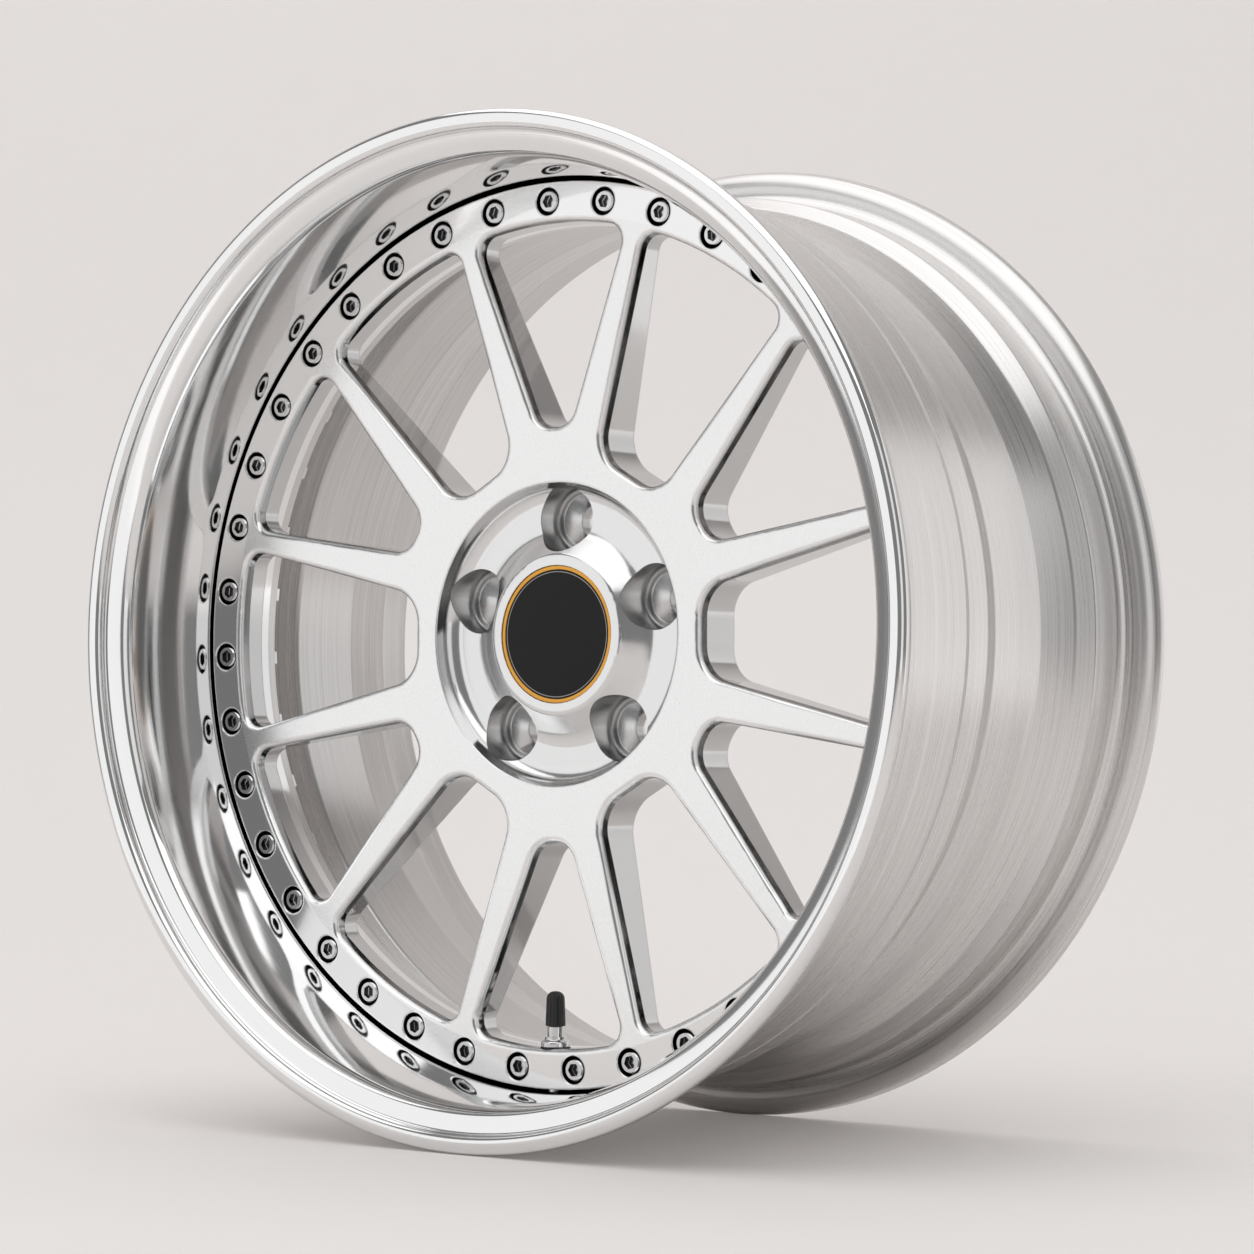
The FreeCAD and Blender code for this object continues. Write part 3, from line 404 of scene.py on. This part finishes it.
def gold_anodised():
    """Gold-anodised aluminium trim: warm satin metal"""
    material, tree, shader = new_material("gold_anodised")
    lines = turning_lines(tree, 0.5)
    tree.links.new(spread(tree, lines, 0.18, 0.3), shader.inputs["Roughness"])
    shader.inputs["Base Color"].default_value = linear(bpy.context.scene.wheel_finish.trim)
    shader.inputs["Metallic"].default_value = 1.0
    return material


def moulded_black(name, roughness, grain_mm, depth, flutes=0):
    """Black plastic or rubber: near-black with a fine moulded grain, fluted where fingers turn it"""
    material, tree, shader = new_material(name)
    place = node(tree, "ShaderNodeTexCoord").outputs["Object"]
    grain = speckle(tree, place, grain_mm, 3.0)
    tree.links.new(spread(tree, grain, roughness - 0.05, roughness + 0.05), shader.inputs["Roughness"])
    bump = node(tree, "ShaderNodeBump", {"Height": grain, "Strength": depth, "Distance": 0.05 * MM})
    if flutes:
        parts = node(tree, "ShaderNodeSeparateXYZ", {0: place})
        axis = (CAP_LOW[1] + CAP_HIGH[1]) / 2
        sideways = combine(tree, "SUBTRACT", parts.outputs["Y"], axis)
        angle = combine(tree, "ARCTAN2", parts.outputs["X"], sideways)
        turns = combine(tree, "MULTIPLY", angle, flutes)
        wave = node(tree, "ShaderNodeMath", {0: turns}, operation="COSINE").outputs[0]
        fluted = node(tree, "ShaderNodeBump", {"Height": wave, "Strength": 0.8, "Distance": 0.2 * MM})
        tree.links.new(fluted.outputs[0], bump.inputs["Normal"])
    tree.links.new(bump.outputs[0], shader.inputs["Normal"])
    shader.inputs["Base Color"].default_value = linear(bpy.context.scene.wheel_finish.black)
    shader.inputs["IOR"].default_value = 1.5
    return material


def black_face():
    """Plain gloss-black face of the cap, with one fine silver line inside its edge"""
    material, tree, shader = new_material("black_cap_face")
    place, radius, _ = wheel_places(tree)
    finish = bpy.context.scene.wheel_finish
    line = combine(tree, "SUBTRACT", below(tree, radius, BADGE_HIGH[0] - 0.7 * MM, 0.05 * MM),
                   below(tree, radius, BADGE_HIGH[0] - 1.1 * MM, 0.05 * MM))
    colour = blend(tree, line, linear(finish.face), linear(finish.silver))
    tree.links.new(colour, shader.inputs["Base Color"])
    haze = speckle(tree, place, 3.0)
    tree.links.new(spread(tree, haze, 0.3, 0.38), shader.inputs["Roughness"])
    shader.inputs["Specular IOR Level"].default_value = 0.25
    return material


def moulded_sealant():
    """Cured grey sealant: matt and slightly uneven"""
    material, tree, shader = new_material("cured_sealant")
    place = node(tree, "ShaderNodeTexCoord").outputs["Object"]
    lumps = speckle(tree, place, 2.0)
    tree.links.new(spread(tree, lumps, 0.5, 0.65), shader.inputs["Roughness"])
    bump = node(tree, "ShaderNodeBump", {"Height": lumps, "Strength": 0.2, "Distance": 0.1 * MM})
    tree.links.new(bump.outputs[0], shader.inputs["Normal"])
    shader.inputs["Base Color"].default_value = linear(bpy.context.scene.wheel_finish.sealant)
    return material


def hex_colour(label, words, value):
    """Describe a colour, given as an sRGB hex value"""
    return StringProperty(name=label, description=words, default=value)


def length(label, words, millimetres):
    """Describe a length, given in millimetres"""
    return FloatProperty(name=label, description=words, default=millimetres * MM, unit="LENGTH")


class WheelFinish(PropertyGroup):
    """Colours of the wheel's finishes, and of the shade painted into some of them, as sRGB hex values"""

    polished: hex_colour("Polished lip", "Mirror-polished aluminium", "#EDEDED")
    # painted shade: near-black for the lip's wall deep in the gap beside the disc
    slot: hex_colour("Slot", "Wall of the slot between lip and disc", "#141415")
    turned: hex_colour("Turned rim", "Satin aluminium, darker rings", "#D2D0CF")
    turned_light: hex_colour("Turned rim, light", "Satin aluminium, lighter rings", "#ECEAE9")
    # painted shade: darker copies of the turned colours, for the shade inside the barrel
    inner: hex_colour("Inside", "Inside of the barrel, darker rings", "#C2C0BF")
    shaded_inside_light: hex_colour("Inside, light", "Inside of the barrel, lighter rings", "#D6D4D3")
    milled: hex_colour("Milled centre", "Centre disc's aluminium", "#EDEDED")
    # painted shade: a darker copy of the milled colour for the windows' walls
    wall: hex_colour("Window walls", "Milled walls of the windows", "#CACACA")
    # painted shade: a darker copy of the milled colour for the lug pockets' walls and holes
    pocket: hex_colour("Lug pockets", "Dull walls of the lug pockets", "#B8B8B8")
    recess: hex_colour("Bolt recesses", "Shaded recesses and the ring's edge", "#1E1E1F")
    dish: hex_colour("Dish", "Turned dish round the cap", "#E2E2E2")
    bolts: hex_colour("Bolts", "Zinc-plated steel", "#D9D9DA")
    # painted shade: nearly black for the shade inside the bolts' sockets
    socket: hex_colour("Sockets", "Dirty walls of the bolts' sockets", "#3A3A3C")
    spring: hex_colour("Springs", "Drawn spring wire", "#A7A8AA")
    brass: hex_colour("Valve core", "Turned brass", "#D8B26A")
    trim: hex_colour("Cap trim", "Gold-anodised trim ring", "#D9A04A")
    face: hex_colour("Cap face", "Gloss black of the cap's face", "#111112")
    silver: hex_colour("Cap line", "Fine line inside the trim ring", "#A8A8A6")
    black: hex_colour("Black parts", "Moulded plastic and rubber", "#1B1B1C")
    sealant: hex_colour("Sealant", "Cured bead between lip and barrel", "#D2D2D0")


class WheelSizes(PropertyGroup):
    """Sizes of the details that are drawn on or beside the frame's nodes"""

    bolt_count: IntProperty(name="Bolts", description="Bolts round the ring", default=39)
    bolt_circle: FloatProperty(name="Bolt circle", description="Radius to a bolt's middle", unit="LENGTH",
                               default=DISC_RADIUS - 9.5 * MM)
    recess_radius: length("Recess", "Radius of a bolt's recess", 6.9)
    socket_radius: length("Socket", "Radius that holds a bolt's socket", 3.7)
    socket_depth: length("Socket depth", "Depth of a bolt's socket", 3.6)
    dish_radius: length("Dish", "Radius of the polished dish", 75.2)
    dish_clear: length("Dish clearance", "From the mounting face to the deepest turned face", 10.0)
    lug_count: IntProperty(name="Lugs", description="Wheel bolts round the hub", default=5)
    lug_circle: length("Lug circle", "Radius to a lug's middle", 57.15)
    lug_pocket: length("Lug pocket", "Radius of a lug's pocket", 16.3)
    lug_seat: length("Lug seat", "Radius of a lug's cone seat", 13.0)
    lug_hole: length("Lug hole", "Radius of a lug's hole", 8.0)
    edge_polish: length("Polished edges", "Rounding that polishing gives the edges", 1.5)
    face_rise: length("Face rise", "Rise of the spokes' faces to the dish", 6.0)
    lean_depth: length("Leaning edge", "Depth of the windows' leaning front edge", 7.0)
    lean: FloatProperty(name="Lean", description="Lean of that edge, as a slope", default=0.45)
    ring_border: length("Ring", "Width of the polished ring", 16.7)
    spring_wire: length("Spring wire", "Thickness of the valve spring's wire", 0.34)
    spring_turns: IntProperty(name="Spring turns", description="Turns of the valve's spring", default=6)


class RimSizes(PropertyGroup):
    """Sizes of the lip's and the barrel's sections"""

    steps: IntProperty(name="Steps", description="Steps round the rim", default=288)
    seat_radius: length("Seat radius", "Tyre seat at the flange", 231.0)
    seat_length: length("Seat length", "Tyre seat along the axle", 20.0)
    seat_drop: length("Seat drop", "Fall of the seat towards the well", 1.75)
    flange_width: length("Flange width", "Tyre flange along the axle", 13.0)
    flange_bore: length("Bolting flange", "Inner radius of the bolting flanges", 203.0)
    curl_radius: length("Curl", "Rounding of the flange on the tyre's side", 9.5)
    heel_radius: length("Heel", "Rounding between seat and flange", 6.5)
    edge_radius: length("Bead edges", "Rounding of the outer bead", 3.2)
    hump_rise: length("Hump", "Rise of the safety hump", 1.6)
    hump_length: length("Hump length", "Crest of the safety hump", 4.0)
    hump_ramp: length("Hump ramp", "Run down from the hump", 5.0)
    wall_drop: length("Wall drop", "Step from the seat down to the outer wall", 3.8)
    lip_wall: length("Lip wall", "Thickness of the lip", 3.6)
    lip_flange: length("Lip flange", "Thickness of the lip's bolting flange", 5.0)
    mouth_drop: length("Mouth drop", "Step from the seat to the lip's mouth", 4.2)
    mouth_length: length("Mouth length", "Run from the shelf to the mouth", 5.0)
    bead_width: length("Bead width", "Width of the outer bead", 8.8)
    step_depth: length("Step depth", "Depth of the step inside the bead", 5.5)
    step_width: length("Step width", "Width of the step inside the bead", 4.2)
    shelf_width: length("Shelf width", "Width of the shelf inside the step", 5.8)
    shelf_fall: length("Shelf fall", "Fall of the shelf", 2.6)
    seal_groove: length("Seal groove", "Chamfers that hold the sealant", 1.4)
    barrel_wall: length("Barrel wall", "Thickness of the barrel", 4.4)
    barrel_flange: length("Barrel flange", "Thickness of the barrel's bolting flange", 5.0)
    nut_bay: length("Nut bay", "Room behind the bolting flange", 13.0)
    well_drop: length("Well drop", "Step down into the well", 7.8)
    well_ramp: length("Well ramp", "Run down into the well", 19.0)
    rise_length: length("Well rise", "Run up out of the well", 25.0)
    shoulder_rise: length("Shoulder rise", "Height of the shoulder over the well", 4.6)
    shoulder_ramp: length("Shoulder ramp", "Run from the shoulder to the hump", 8.4)
    rear_bevel: length("Rear bevel", "Bevel inside the rear flange", 11.0)


class StudioSettings(PropertyGroup):
    """Camera and light of the studio"""

    azimuth: FloatProperty(name="Azimuth", description="Camera's angle round the wheel", subtype="ANGLE",
                           default=math.radians(36.713))
    elevation: FloatProperty(name="Elevation", description="Camera's angle above the axle", subtype="ANGLE",
                             default=math.radians(-1.708))
    roll: FloatProperty(name="Roll", description="Camera's lean", subtype="ANGLE",
                        default=math.radians(-0.12))
    distance: FloatProperty(name="Distance", description="Camera to wheel", unit="LENGTH", default=1.7939)
    aim: FloatVectorProperty(name="Aim", description="Point at the middle of the picture", subtype="XYZ",
                             unit="LENGTH", default=(0.0066, 0.0049, 0.0048))
    lens: FloatProperty(name="Lens", description="Focal length on a 36 mm sensor", default=102.49)
    ground: hex_colour("Ground", "Floor and backdrop colour", "#F2EEEC")
    sky: hex_colour("Beyond", "What the camera sees past the backdrop", "#E2DEDC")


def lip_corners(sizes):
    """Corners of the lip's section, from its bolting flange round the bead and back down the polished wall"""
    front = LIP_LOW[1]
    joint = LIP_HIGH[1]
    flange_face = front + sizes.flange_width
    seat_end = flange_face + sizes.seat_length
    hump_end = seat_end + sizes.hump_rise + sizes.hump_length
    seat_end_radius = sizes.seat_radius - sizes.seat_drop
    hump_radius = seat_end_radius + sizes.hump_rise
    outer = sizes.seat_radius - sizes.wall_drop
    bead_inner = RIM_RADIUS - sizes.bead_width
    step_floor = front + sizes.step_depth
    shelf_end = step_floor + sizes.shelf_fall
    back = joint - sizes.lip_flange
    return [
        (sizes.flange_bore, back, 0),
        (sizes.flange_bore, joint, 0),
        (outer - sizes.seal_groove, joint, 0),
        (outer, joint - sizes.seal_groove, 0),
        (outer, hump_end + sizes.hump_ramp, sizes.hump_ramp / 2),
        (hump_radius, hump_end, sizes.hump_length / 3),
        (hump_radius, seat_end + sizes.hump_rise, sizes.hump_rise / 2),
        (seat_end_radius, seat_end, 0),
        (sizes.seat_radius, flange_face, sizes.heel_radius),
        (RIM_RADIUS, flange_face, sizes.curl_radius),
        (RIM_RADIUS, front, sizes.edge_radius),
        (bead_inner, front, sizes.edge_radius),
        (bead_inner - sizes.step_depth / 8, step_floor, sizes.step_depth / 3),
        (bead_inner - sizes.step_width, step_floor + sizes.step_depth / 8, 0),
        (bead_inner - sizes.step_width - sizes.shelf_width, shelf_end, sizes.shelf_fall),
        (sizes.seat_radius - sizes.mouth_drop, shelf_end + sizes.mouth_length, 0),
        (outer - sizes.lip_wall, back, 0.7 * MM),
    ]


def barrel_corners(sizes):
    """Corners of the barrel's section, along its outside to the rear flange and back along its inside"""
    joint, rear = BARREL_LOW[1], BARREL_HIGH[1]
    flange_back = joint + sizes.barrel_flange
    flange_face = rear - sizes.flange_width
    seat_end = flange_face - sizes.seat_length
    hump_end = seat_end - sizes.hump_rise - sizes.hump_length
    shoulder = hump_end - sizes.shoulder_ramp
    rise = shoulder - sizes.rise_length
    seat_end_radius = sizes.seat_radius - sizes.seat_drop
    hump_radius = seat_end_radius + sizes.hump_rise
    outer = sizes.seat_radius - sizes.wall_drop
    well = outer - sizes.well_drop
    shoulder_radius = well + sizes.shoulder_rise
    wall = sizes.barrel_wall
    bay_end = flange_back + sizes.nut_bay
    well_start = bay_end + sizes.well_ramp
    return [
        (sizes.flange_bore, joint, 0),
        (outer - sizes.seal_groove, joint, 0),
        (outer, joint + sizes.seal_groove, 0),
        (outer, bay_end, sizes.well_drop),
        (well, well_start, sizes.well_ramp / 2),
        (well, rise, sizes.rise_length / 8),
        (shoulder_radius, shoulder, sizes.shoulder_ramp / 2),
        (hump_radius, hump_end, sizes.hump_length / 3),
        (hump_radius, seat_end - sizes.hump_rise, sizes.hump_rise / 2),
        (seat_end_radius, seat_end, 0),
        (sizes.seat_radius, flange_face, sizes.heel_radius),
        (RIM_RADIUS, flange_face, sizes.curl_radius),
        (RIM_RADIUS, rear, sizes.edge_radius),
        (RIM_RADIUS - sizes.bead_width, rear, sizes.edge_radius),
        (sizes.seat_radius - wall, rear - sizes.rear_bevel, sizes.rear_bevel / 2),
        (seat_end_radius - wall, seat_end, wall / 2),
        (shoulder_radius - wall, shoulder + wall / 2, sizes.shoulder_ramp / 2),
        (well - wall, rise, sizes.rise_length / 4),
        (well - wall, well_start, sizes.well_ramp / 2),
        (outer - wall, bay_end, sizes.well_drop),
        (outer - wall, flange_back, wall / 4),
        (sizes.flange_bore, flange_back, 0),
    ]


class WHEEL_OT_lip(Operator):
    """Finish the polished lip and the sealant beside it"""

    bl_idname = "wheel.lip"
    bl_label = "Polished lip"

    def execute(self, context):
        sizes = context.scene.rim_sizes
        mesh_data = turned_section(lip_corners(sizes), sizes.steps)
        bmesh.ops.recalc_face_normals(mesh_data, faces=mesh_data.faces)
        flange_back = LIP_LOW[1] + sizes.flange_width - sizes.curl_radius
        for face in mesh_data.faces:
            behind_flange = face.calc_center_median().y > flange_back
            face.material_index = int(behind_flange and away_from_axle(face) > 0.05 or face.normal.y > 0.5)
        finish = context.scene.wheel_finish
        tyre_side = turned_aluminium("turned_tyre_side", finish.turned, finish.turned_light, 0.24, 0.36)
        finishes = [polished_aluminium(), tyre_side]
        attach(keep_piece(mesh_data, "polished_lip", finishes, "outer_lip"), "wheel")
        dress("rim_seal", moulded_sealant())
        return {"FINISHED"}


class WHEEL_OT_barrel(Operator):
    """Finish the turned barrel"""

    bl_idname = "wheel.barrel"
    bl_label = "Turned barrel"

    def execute(self, context):
        sizes = context.scene.rim_sizes
        mesh_data = turned_section(barrel_corners(sizes), sizes.steps)
        finish = context.scene.wheel_finish
        tyre_side = turned_aluminium("turned_barrel", finish.turned, finish.turned_light, 0.24, 0.36)
        # painted shade: the barrel's inside takes darker copies of the turned colours, standing in for the
        # shade inside the wheel
        shaded_hub_side = turned_aluminium("turned_inside_shaded", finish.inner, finish.shaded_inside_light, 0.2, 0.28)
        bmesh.ops.recalc_face_normals(mesh_data, faces=mesh_data.faces)
        rear_bevel = BARREL_HIGH[1] - sizes.rear_bevel
        for face in mesh_data.faces:
            before_bevel = face.calc_center_median().y < rear_bevel
            face.material_index = int(before_bevel and away_from_axle(face) < -0.05)
        finishes = [tyre_side, shaded_hub_side]
        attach(keep_piece(mesh_data, "turned_barrel", finishes, "inner_barrel"), "wheel")
        return {"FINISHED"}


class WHEEL_OT_disc(Operator):
    """Finish the spoked centre"""

    bl_idname = "wheel.disc"
    bl_label = "Spoked centre"

    def execute(self, context):
        sizes = context.scene.wheel_sizes
        dress("centre_disc", milled_aluminium())
        mesh = NODES["centre_disc"].data
        mesh.materials.append(turned_dish())
        share = 2 * math.pi / sizes.lug_count
        turns = [Matrix.Rotation(share * place, 3, "Y") for place in range(sizes.lug_count)]
        lugs = [turn @ Vector((0, 0, sizes.lug_circle)) for turn in turns]
        for face in mesh.polygons:
            middle = Vector((face.center.x, 0, face.center.z))
            in_pocket = min((middle - lug).length for lug in lugs) < sizes.lug_pocket
            in_front = face.normal.y < -0.05 and face.center.y < DISC_HIGH[1] - sizes.dish_clear
            face.material_index = int(middle.length < sizes.dish_radius and in_front and not in_pocket)
        return {"FINISHED"}


class WHEEL_OT_bolts(Operator):
    """Finish the socket-head bolts, and the washers and nuts behind them"""

    bl_idname = "wheel.bolts"
    bl_label = "Assembly bolts"

    def execute(self, context):
        steel = plated_steel()
        dress("assembly_bolts", socket_steel())
        dress("assembly_washers", steel)
        dress("assembly_nuts", steel)
        return {"FINISHED"}


class WHEEL_OT_valve(Operator):
    """Finish the tyre valve"""

    bl_idname = "wheel.valve"
    bl_label = "Tyre valve"

    def execute(self, context):
        steel = plated_steel()
        brass = turned_brass()
        rubber = moulded_black("black_rubber", 0.6, 0.5, 0.25)
        dress("valve_stem", steel)
        dress("valve_collar", steel)
        dress("valve_core", brass)
        dress("valve_pin", brass)
        self.wind_spring(context.scene.wheel_sizes)
        dress("valve_outer_seal", rubber)
        dress("valve_inner_seal", rubber)
        dress("valve_cap_seal", rubber)
        dress("valve_cap", moulded_black("black_cap_plastic", 0.42, 0.6, 0.15, flutes=16))
        return {"FINISHED"}

    def wind_spring(self, sizes):
        """Wind the core's return spring at rest; the real one shortens as the pin is pressed"""
        low, high = [Vector(corner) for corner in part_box("core_spring")]
        middle = (low + high) / 2
        half = sizes.spring_wire / 2
        foot = Vector((middle.x, middle.y, low.z + half))
        top = Vector((middle.x, middle.y, high.z - half))
        reach = (high.x - low.x) / 2 - half
        mesh_data = bmesh.new()
        upright = Matrix.Translation(foot + Vector((reach, 0, 0))) @ Matrix.Rotation(math.pi / 2, 4, "X")
        bmesh.ops.create_circle(mesh_data, cap_ends=True, radius=half, segments=10, matrix=upright)
        steps = 24 * sizes.spring_turns
        section = mesh_data.verts[:] + mesh_data.edges[:] + mesh_data.faces[:]
        bmesh.ops.spin(mesh_data, geom=section, cent=foot, axis=(0, 0, 1), dvec=(top - foot) / steps,
                       angle=2 * math.pi * sizes.spring_turns, steps=steps)
        spring = keep_piece(mesh_data, "wound_spring", [spring_steel()], "core_spring")
        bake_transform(spring)


class WHEEL_OT_centre_cap(Operator):
    """Finish the plain centre cap"""

    bl_idname = "wheel.centre_cap"
    bl_label = "Centre cap"

    def execute(self, context):
        dress("cap_body", moulded_black("black_body_plastic", 0.45, 0.6, 0.15))
        dress("cap_badge", black_face())
        dress("cap_trim_ring", gold_anodised())
        dress("cap_spring_ring", spring_steel())
        return {"FINISHED"}


def pale_ground():
    """Seamless painted studio ground: pale and matt, a little lifted where the camera sees it"""
    material, tree, shader = new_material("pale_ground")
    colour = linear(bpy.context.scene.wheel_studio.ground)
    shader.inputs["Base Color"].default_value = colour
    shader.inputs["Roughness"].default_value = 0.9
    rays = node(tree, "ShaderNodeLightPath")
    share = combine(tree, "MULTIPLY", rays.outputs["Is Camera Ray"], 0.08)
    glow = node(tree, "ShaderNodeEmission", {"Color": colour, "Strength": 1.5})
    mixed = node(tree, "ShaderNodeMixShader", {0: share, 1: shader.outputs[0], 2: glow.outputs[0]})
    # seen from behind, the backdrop is clear and leaves the wheel in view
    behind = node(tree, "ShaderNodeNewGeometry").outputs["Backfacing"]
    clear = node(tree, "ShaderNodeBsdfTransparent")
    one_sided = node(tree, "ShaderNodeMixShader", {0: behind, 1: mixed.outputs[0], 2: clear.outputs[0]})
    output = next(item for item in tree.nodes if item.type == "OUTPUT_MATERIAL")
    tree.links.new(one_sided.outputs[0], output.inputs["Surface"])
    return material


def soft_lamp(name, place, target, width, height, power):
    """Hang a large soft lamp that faces a point"""
    lamp = bpy.data.lights.new(name, "AREA")
    lamp.shape = "RECTANGLE"
    lamp.size = width
    lamp.size_y = height
    lamp.energy = power
    holder = bpy.data.objects.new(name, lamp)
    holder.location = place
    holder.rotation_euler = (Vector(target) - Vector(place)).to_track_quat("-Z", "Y").to_euler()
    bpy.context.scene.collection.objects.link(holder)
    return holder


class WHEEL_OT_stage(Operator):
    """Build the studio: ground with a curved backdrop, lamps, world and camera"""

    bl_idname = "wheel.stage"
    bl_label = "Studio"

    def execute(self, context):
        settings = context.scene.wheel_studio
        self.build_ground()
        self.hang_lamps()
        self.light_world(context.scene)
        self.place_camera(context.scene, settings)
        context.scene.view_settings.view_transform = "Standard"
        return {"FINISHED"}

    def build_ground(self):
        """Sweep a floor that curves up into a wall behind the wheel, square to the camera"""
        mesh_data = bmesh.new()
        floor = -RIM_RADIUS
        line = [(-4.0, 0.0), (-1.0, 0.0), (0.45, 0.0), (0.55, 0.0), (0.75, 0.03), (0.95, 0.12), (1.15, 0.32),
                (1.3, 0.7), (1.35, 3.5)]
        verts = [mesh_data.verts.new((-5.0, depth, floor + rise)) for depth, rise in line]
        for first, second in zip(verts, verts[1:]):
            mesh_data.edges.new((first, second))
        made = bmesh.ops.extrude_edge_only(mesh_data, edges=mesh_data.edges[:])
        moved = [item for item in made["geom"] if isinstance(item, bmesh.types.BMVert)]
        bmesh.ops.translate(mesh_data, verts=moved, vec=(10.0, 0, 0))
        mesh_data.normal_update()
        if sum(face.normal.z for face in mesh_data.faces) < 0:
            bmesh.ops.reverse_faces(mesh_data, faces=mesh_data.faces)
        turn = Matrix.Rotation(bpy.context.scene.wheel_studio.azimuth, 4, "Z")
        bmesh.ops.transform(mesh_data, matrix=turn, verts=mesh_data.verts)
        for face in mesh_data.faces:
            face.smooth = True
        mesh = bpy.data.meshes.new("studio_ground")
        mesh_data.to_mesh(mesh)
        mesh_data.free()
        mesh.materials.append(pale_ground())
        ground = bpy.data.objects.new("studio_ground", mesh)
        bpy.context.scene.collection.objects.link(ground)
        rounding = ground.modifiers.new("rounding", "SUBSURF")
        rounding.levels = 3
        rounding.render_levels = 3

    def hang_lamps(self):
        """Hang the key lamp front left, softer ones at the right and behind it, and a broad one overhead"""
        soft_lamp("key_lamp", (-1.26, -2.02, 0.2), (0, 0, 0), 2.0, 2.2, 11)
        soft_lamp("side_lamp", (1.0, 1.35, 0.2), (0, 0, 0), 1.0, 1.3, 2.6)
        soft_lamp("fill_lamp", (2.03, -1.08, 0.35), (0, 0, 0), 1.3, 2.0, 5)
        soft_lamp("top_lamp", (0.15, -0.5, 2.0), (0, 0, 0), 3.4, 3.4, 43)

    def light_world(self, scene):
        """Fill the rest of the room with a dim even light, pale where the camera looks past the backdrop"""
        world = bpy.data.worlds.new("studio")
        world.use_nodes = True
        tree = world.node_tree
        camera_ray = node(tree, "ShaderNodeLightPath").outputs["Is Camera Ray"]
        colour = blend(tree, camera_ray, (0.22, 0.22, 0.22, 1), linear(scene.wheel_studio.sky))
        tree.links.new(colour, tree.nodes["Background"].inputs["Color"])
        scene.world = world

    def place_camera(self, scene, settings):
        """Set the camera at the photograph's angle"""
        camera = bpy.data.cameras.new("camera")
        camera.lens = settings.lens
        camera.sensor_width = 36.0
        holder = bpy.data.objects.new("camera", camera)
        level = math.cos(settings.elevation)
        away = Vector((math.sin(settings.azimuth) * level, -math.cos(settings.azimuth) * level,
                       math.sin(settings.elevation)))
        eye = away * settings.distance
        look = (Vector(settings.aim) - eye).to_track_quat("-Z", "Y").to_matrix().to_4x4()
        holder.matrix_world = Matrix.Translation(eye) @ look @ Matrix.Rotation(-settings.roll, 4, "Z")
        scene.collection.objects.link(holder)
        scene.camera = holder


class WHEEL_PT_panel(Panel):
    """Lists the wheel's operators in the sidebar"""

    bl_idname = "WHEEL_PT_panel"
    bl_label = "Three-piece wheel"
    bl_space_type = "VIEW_3D"
    bl_region_type = "UI"
    bl_category = "Wheel"

    def draw(self, context):
        for step in STEPS:
            self.layout.operator(step.bl_idname)


STEPS = (WHEEL_OT_lip, WHEEL_OT_barrel, WHEEL_OT_disc, WHEEL_OT_bolts, WHEEL_OT_valve, WHEEL_OT_centre_cap,
         WHEEL_OT_stage)
CLASSES = (WheelFinish, WheelSizes, RimSizes, StudioSettings) + STEPS + (WHEEL_PT_panel,)


def register():
    for item in CLASSES:
        bpy.utils.register_class(item)
    bpy.types.Scene.wheel_finish = PointerProperty(type=WheelFinish)
    bpy.types.Scene.wheel_sizes = PointerProperty(type=WheelSizes)
    bpy.types.Scene.rim_sizes = PointerProperty(type=RimSizes)
    bpy.types.Scene.wheel_studio = PointerProperty(type=StudioSettings)


def unregister():
    del bpy.types.Scene.wheel_studio
    del bpy.types.Scene.rim_sizes
    del bpy.types.Scene.wheel_sizes
    del bpy.types.Scene.wheel_finish
    for item in reversed(CLASSES):
        bpy.utils.unregister_class(item)


def main():
    register()
    bpy.ops.wheel.lip()
    bpy.ops.wheel.barrel()
    bpy.ops.wheel.disc()
    bpy.ops.wheel.bolts()
    bpy.ops.wheel.valve()
    bpy.ops.wheel.centre_cap()
    bpy.ops.wheel.stage()


if __name__ == "__main__":
    main()
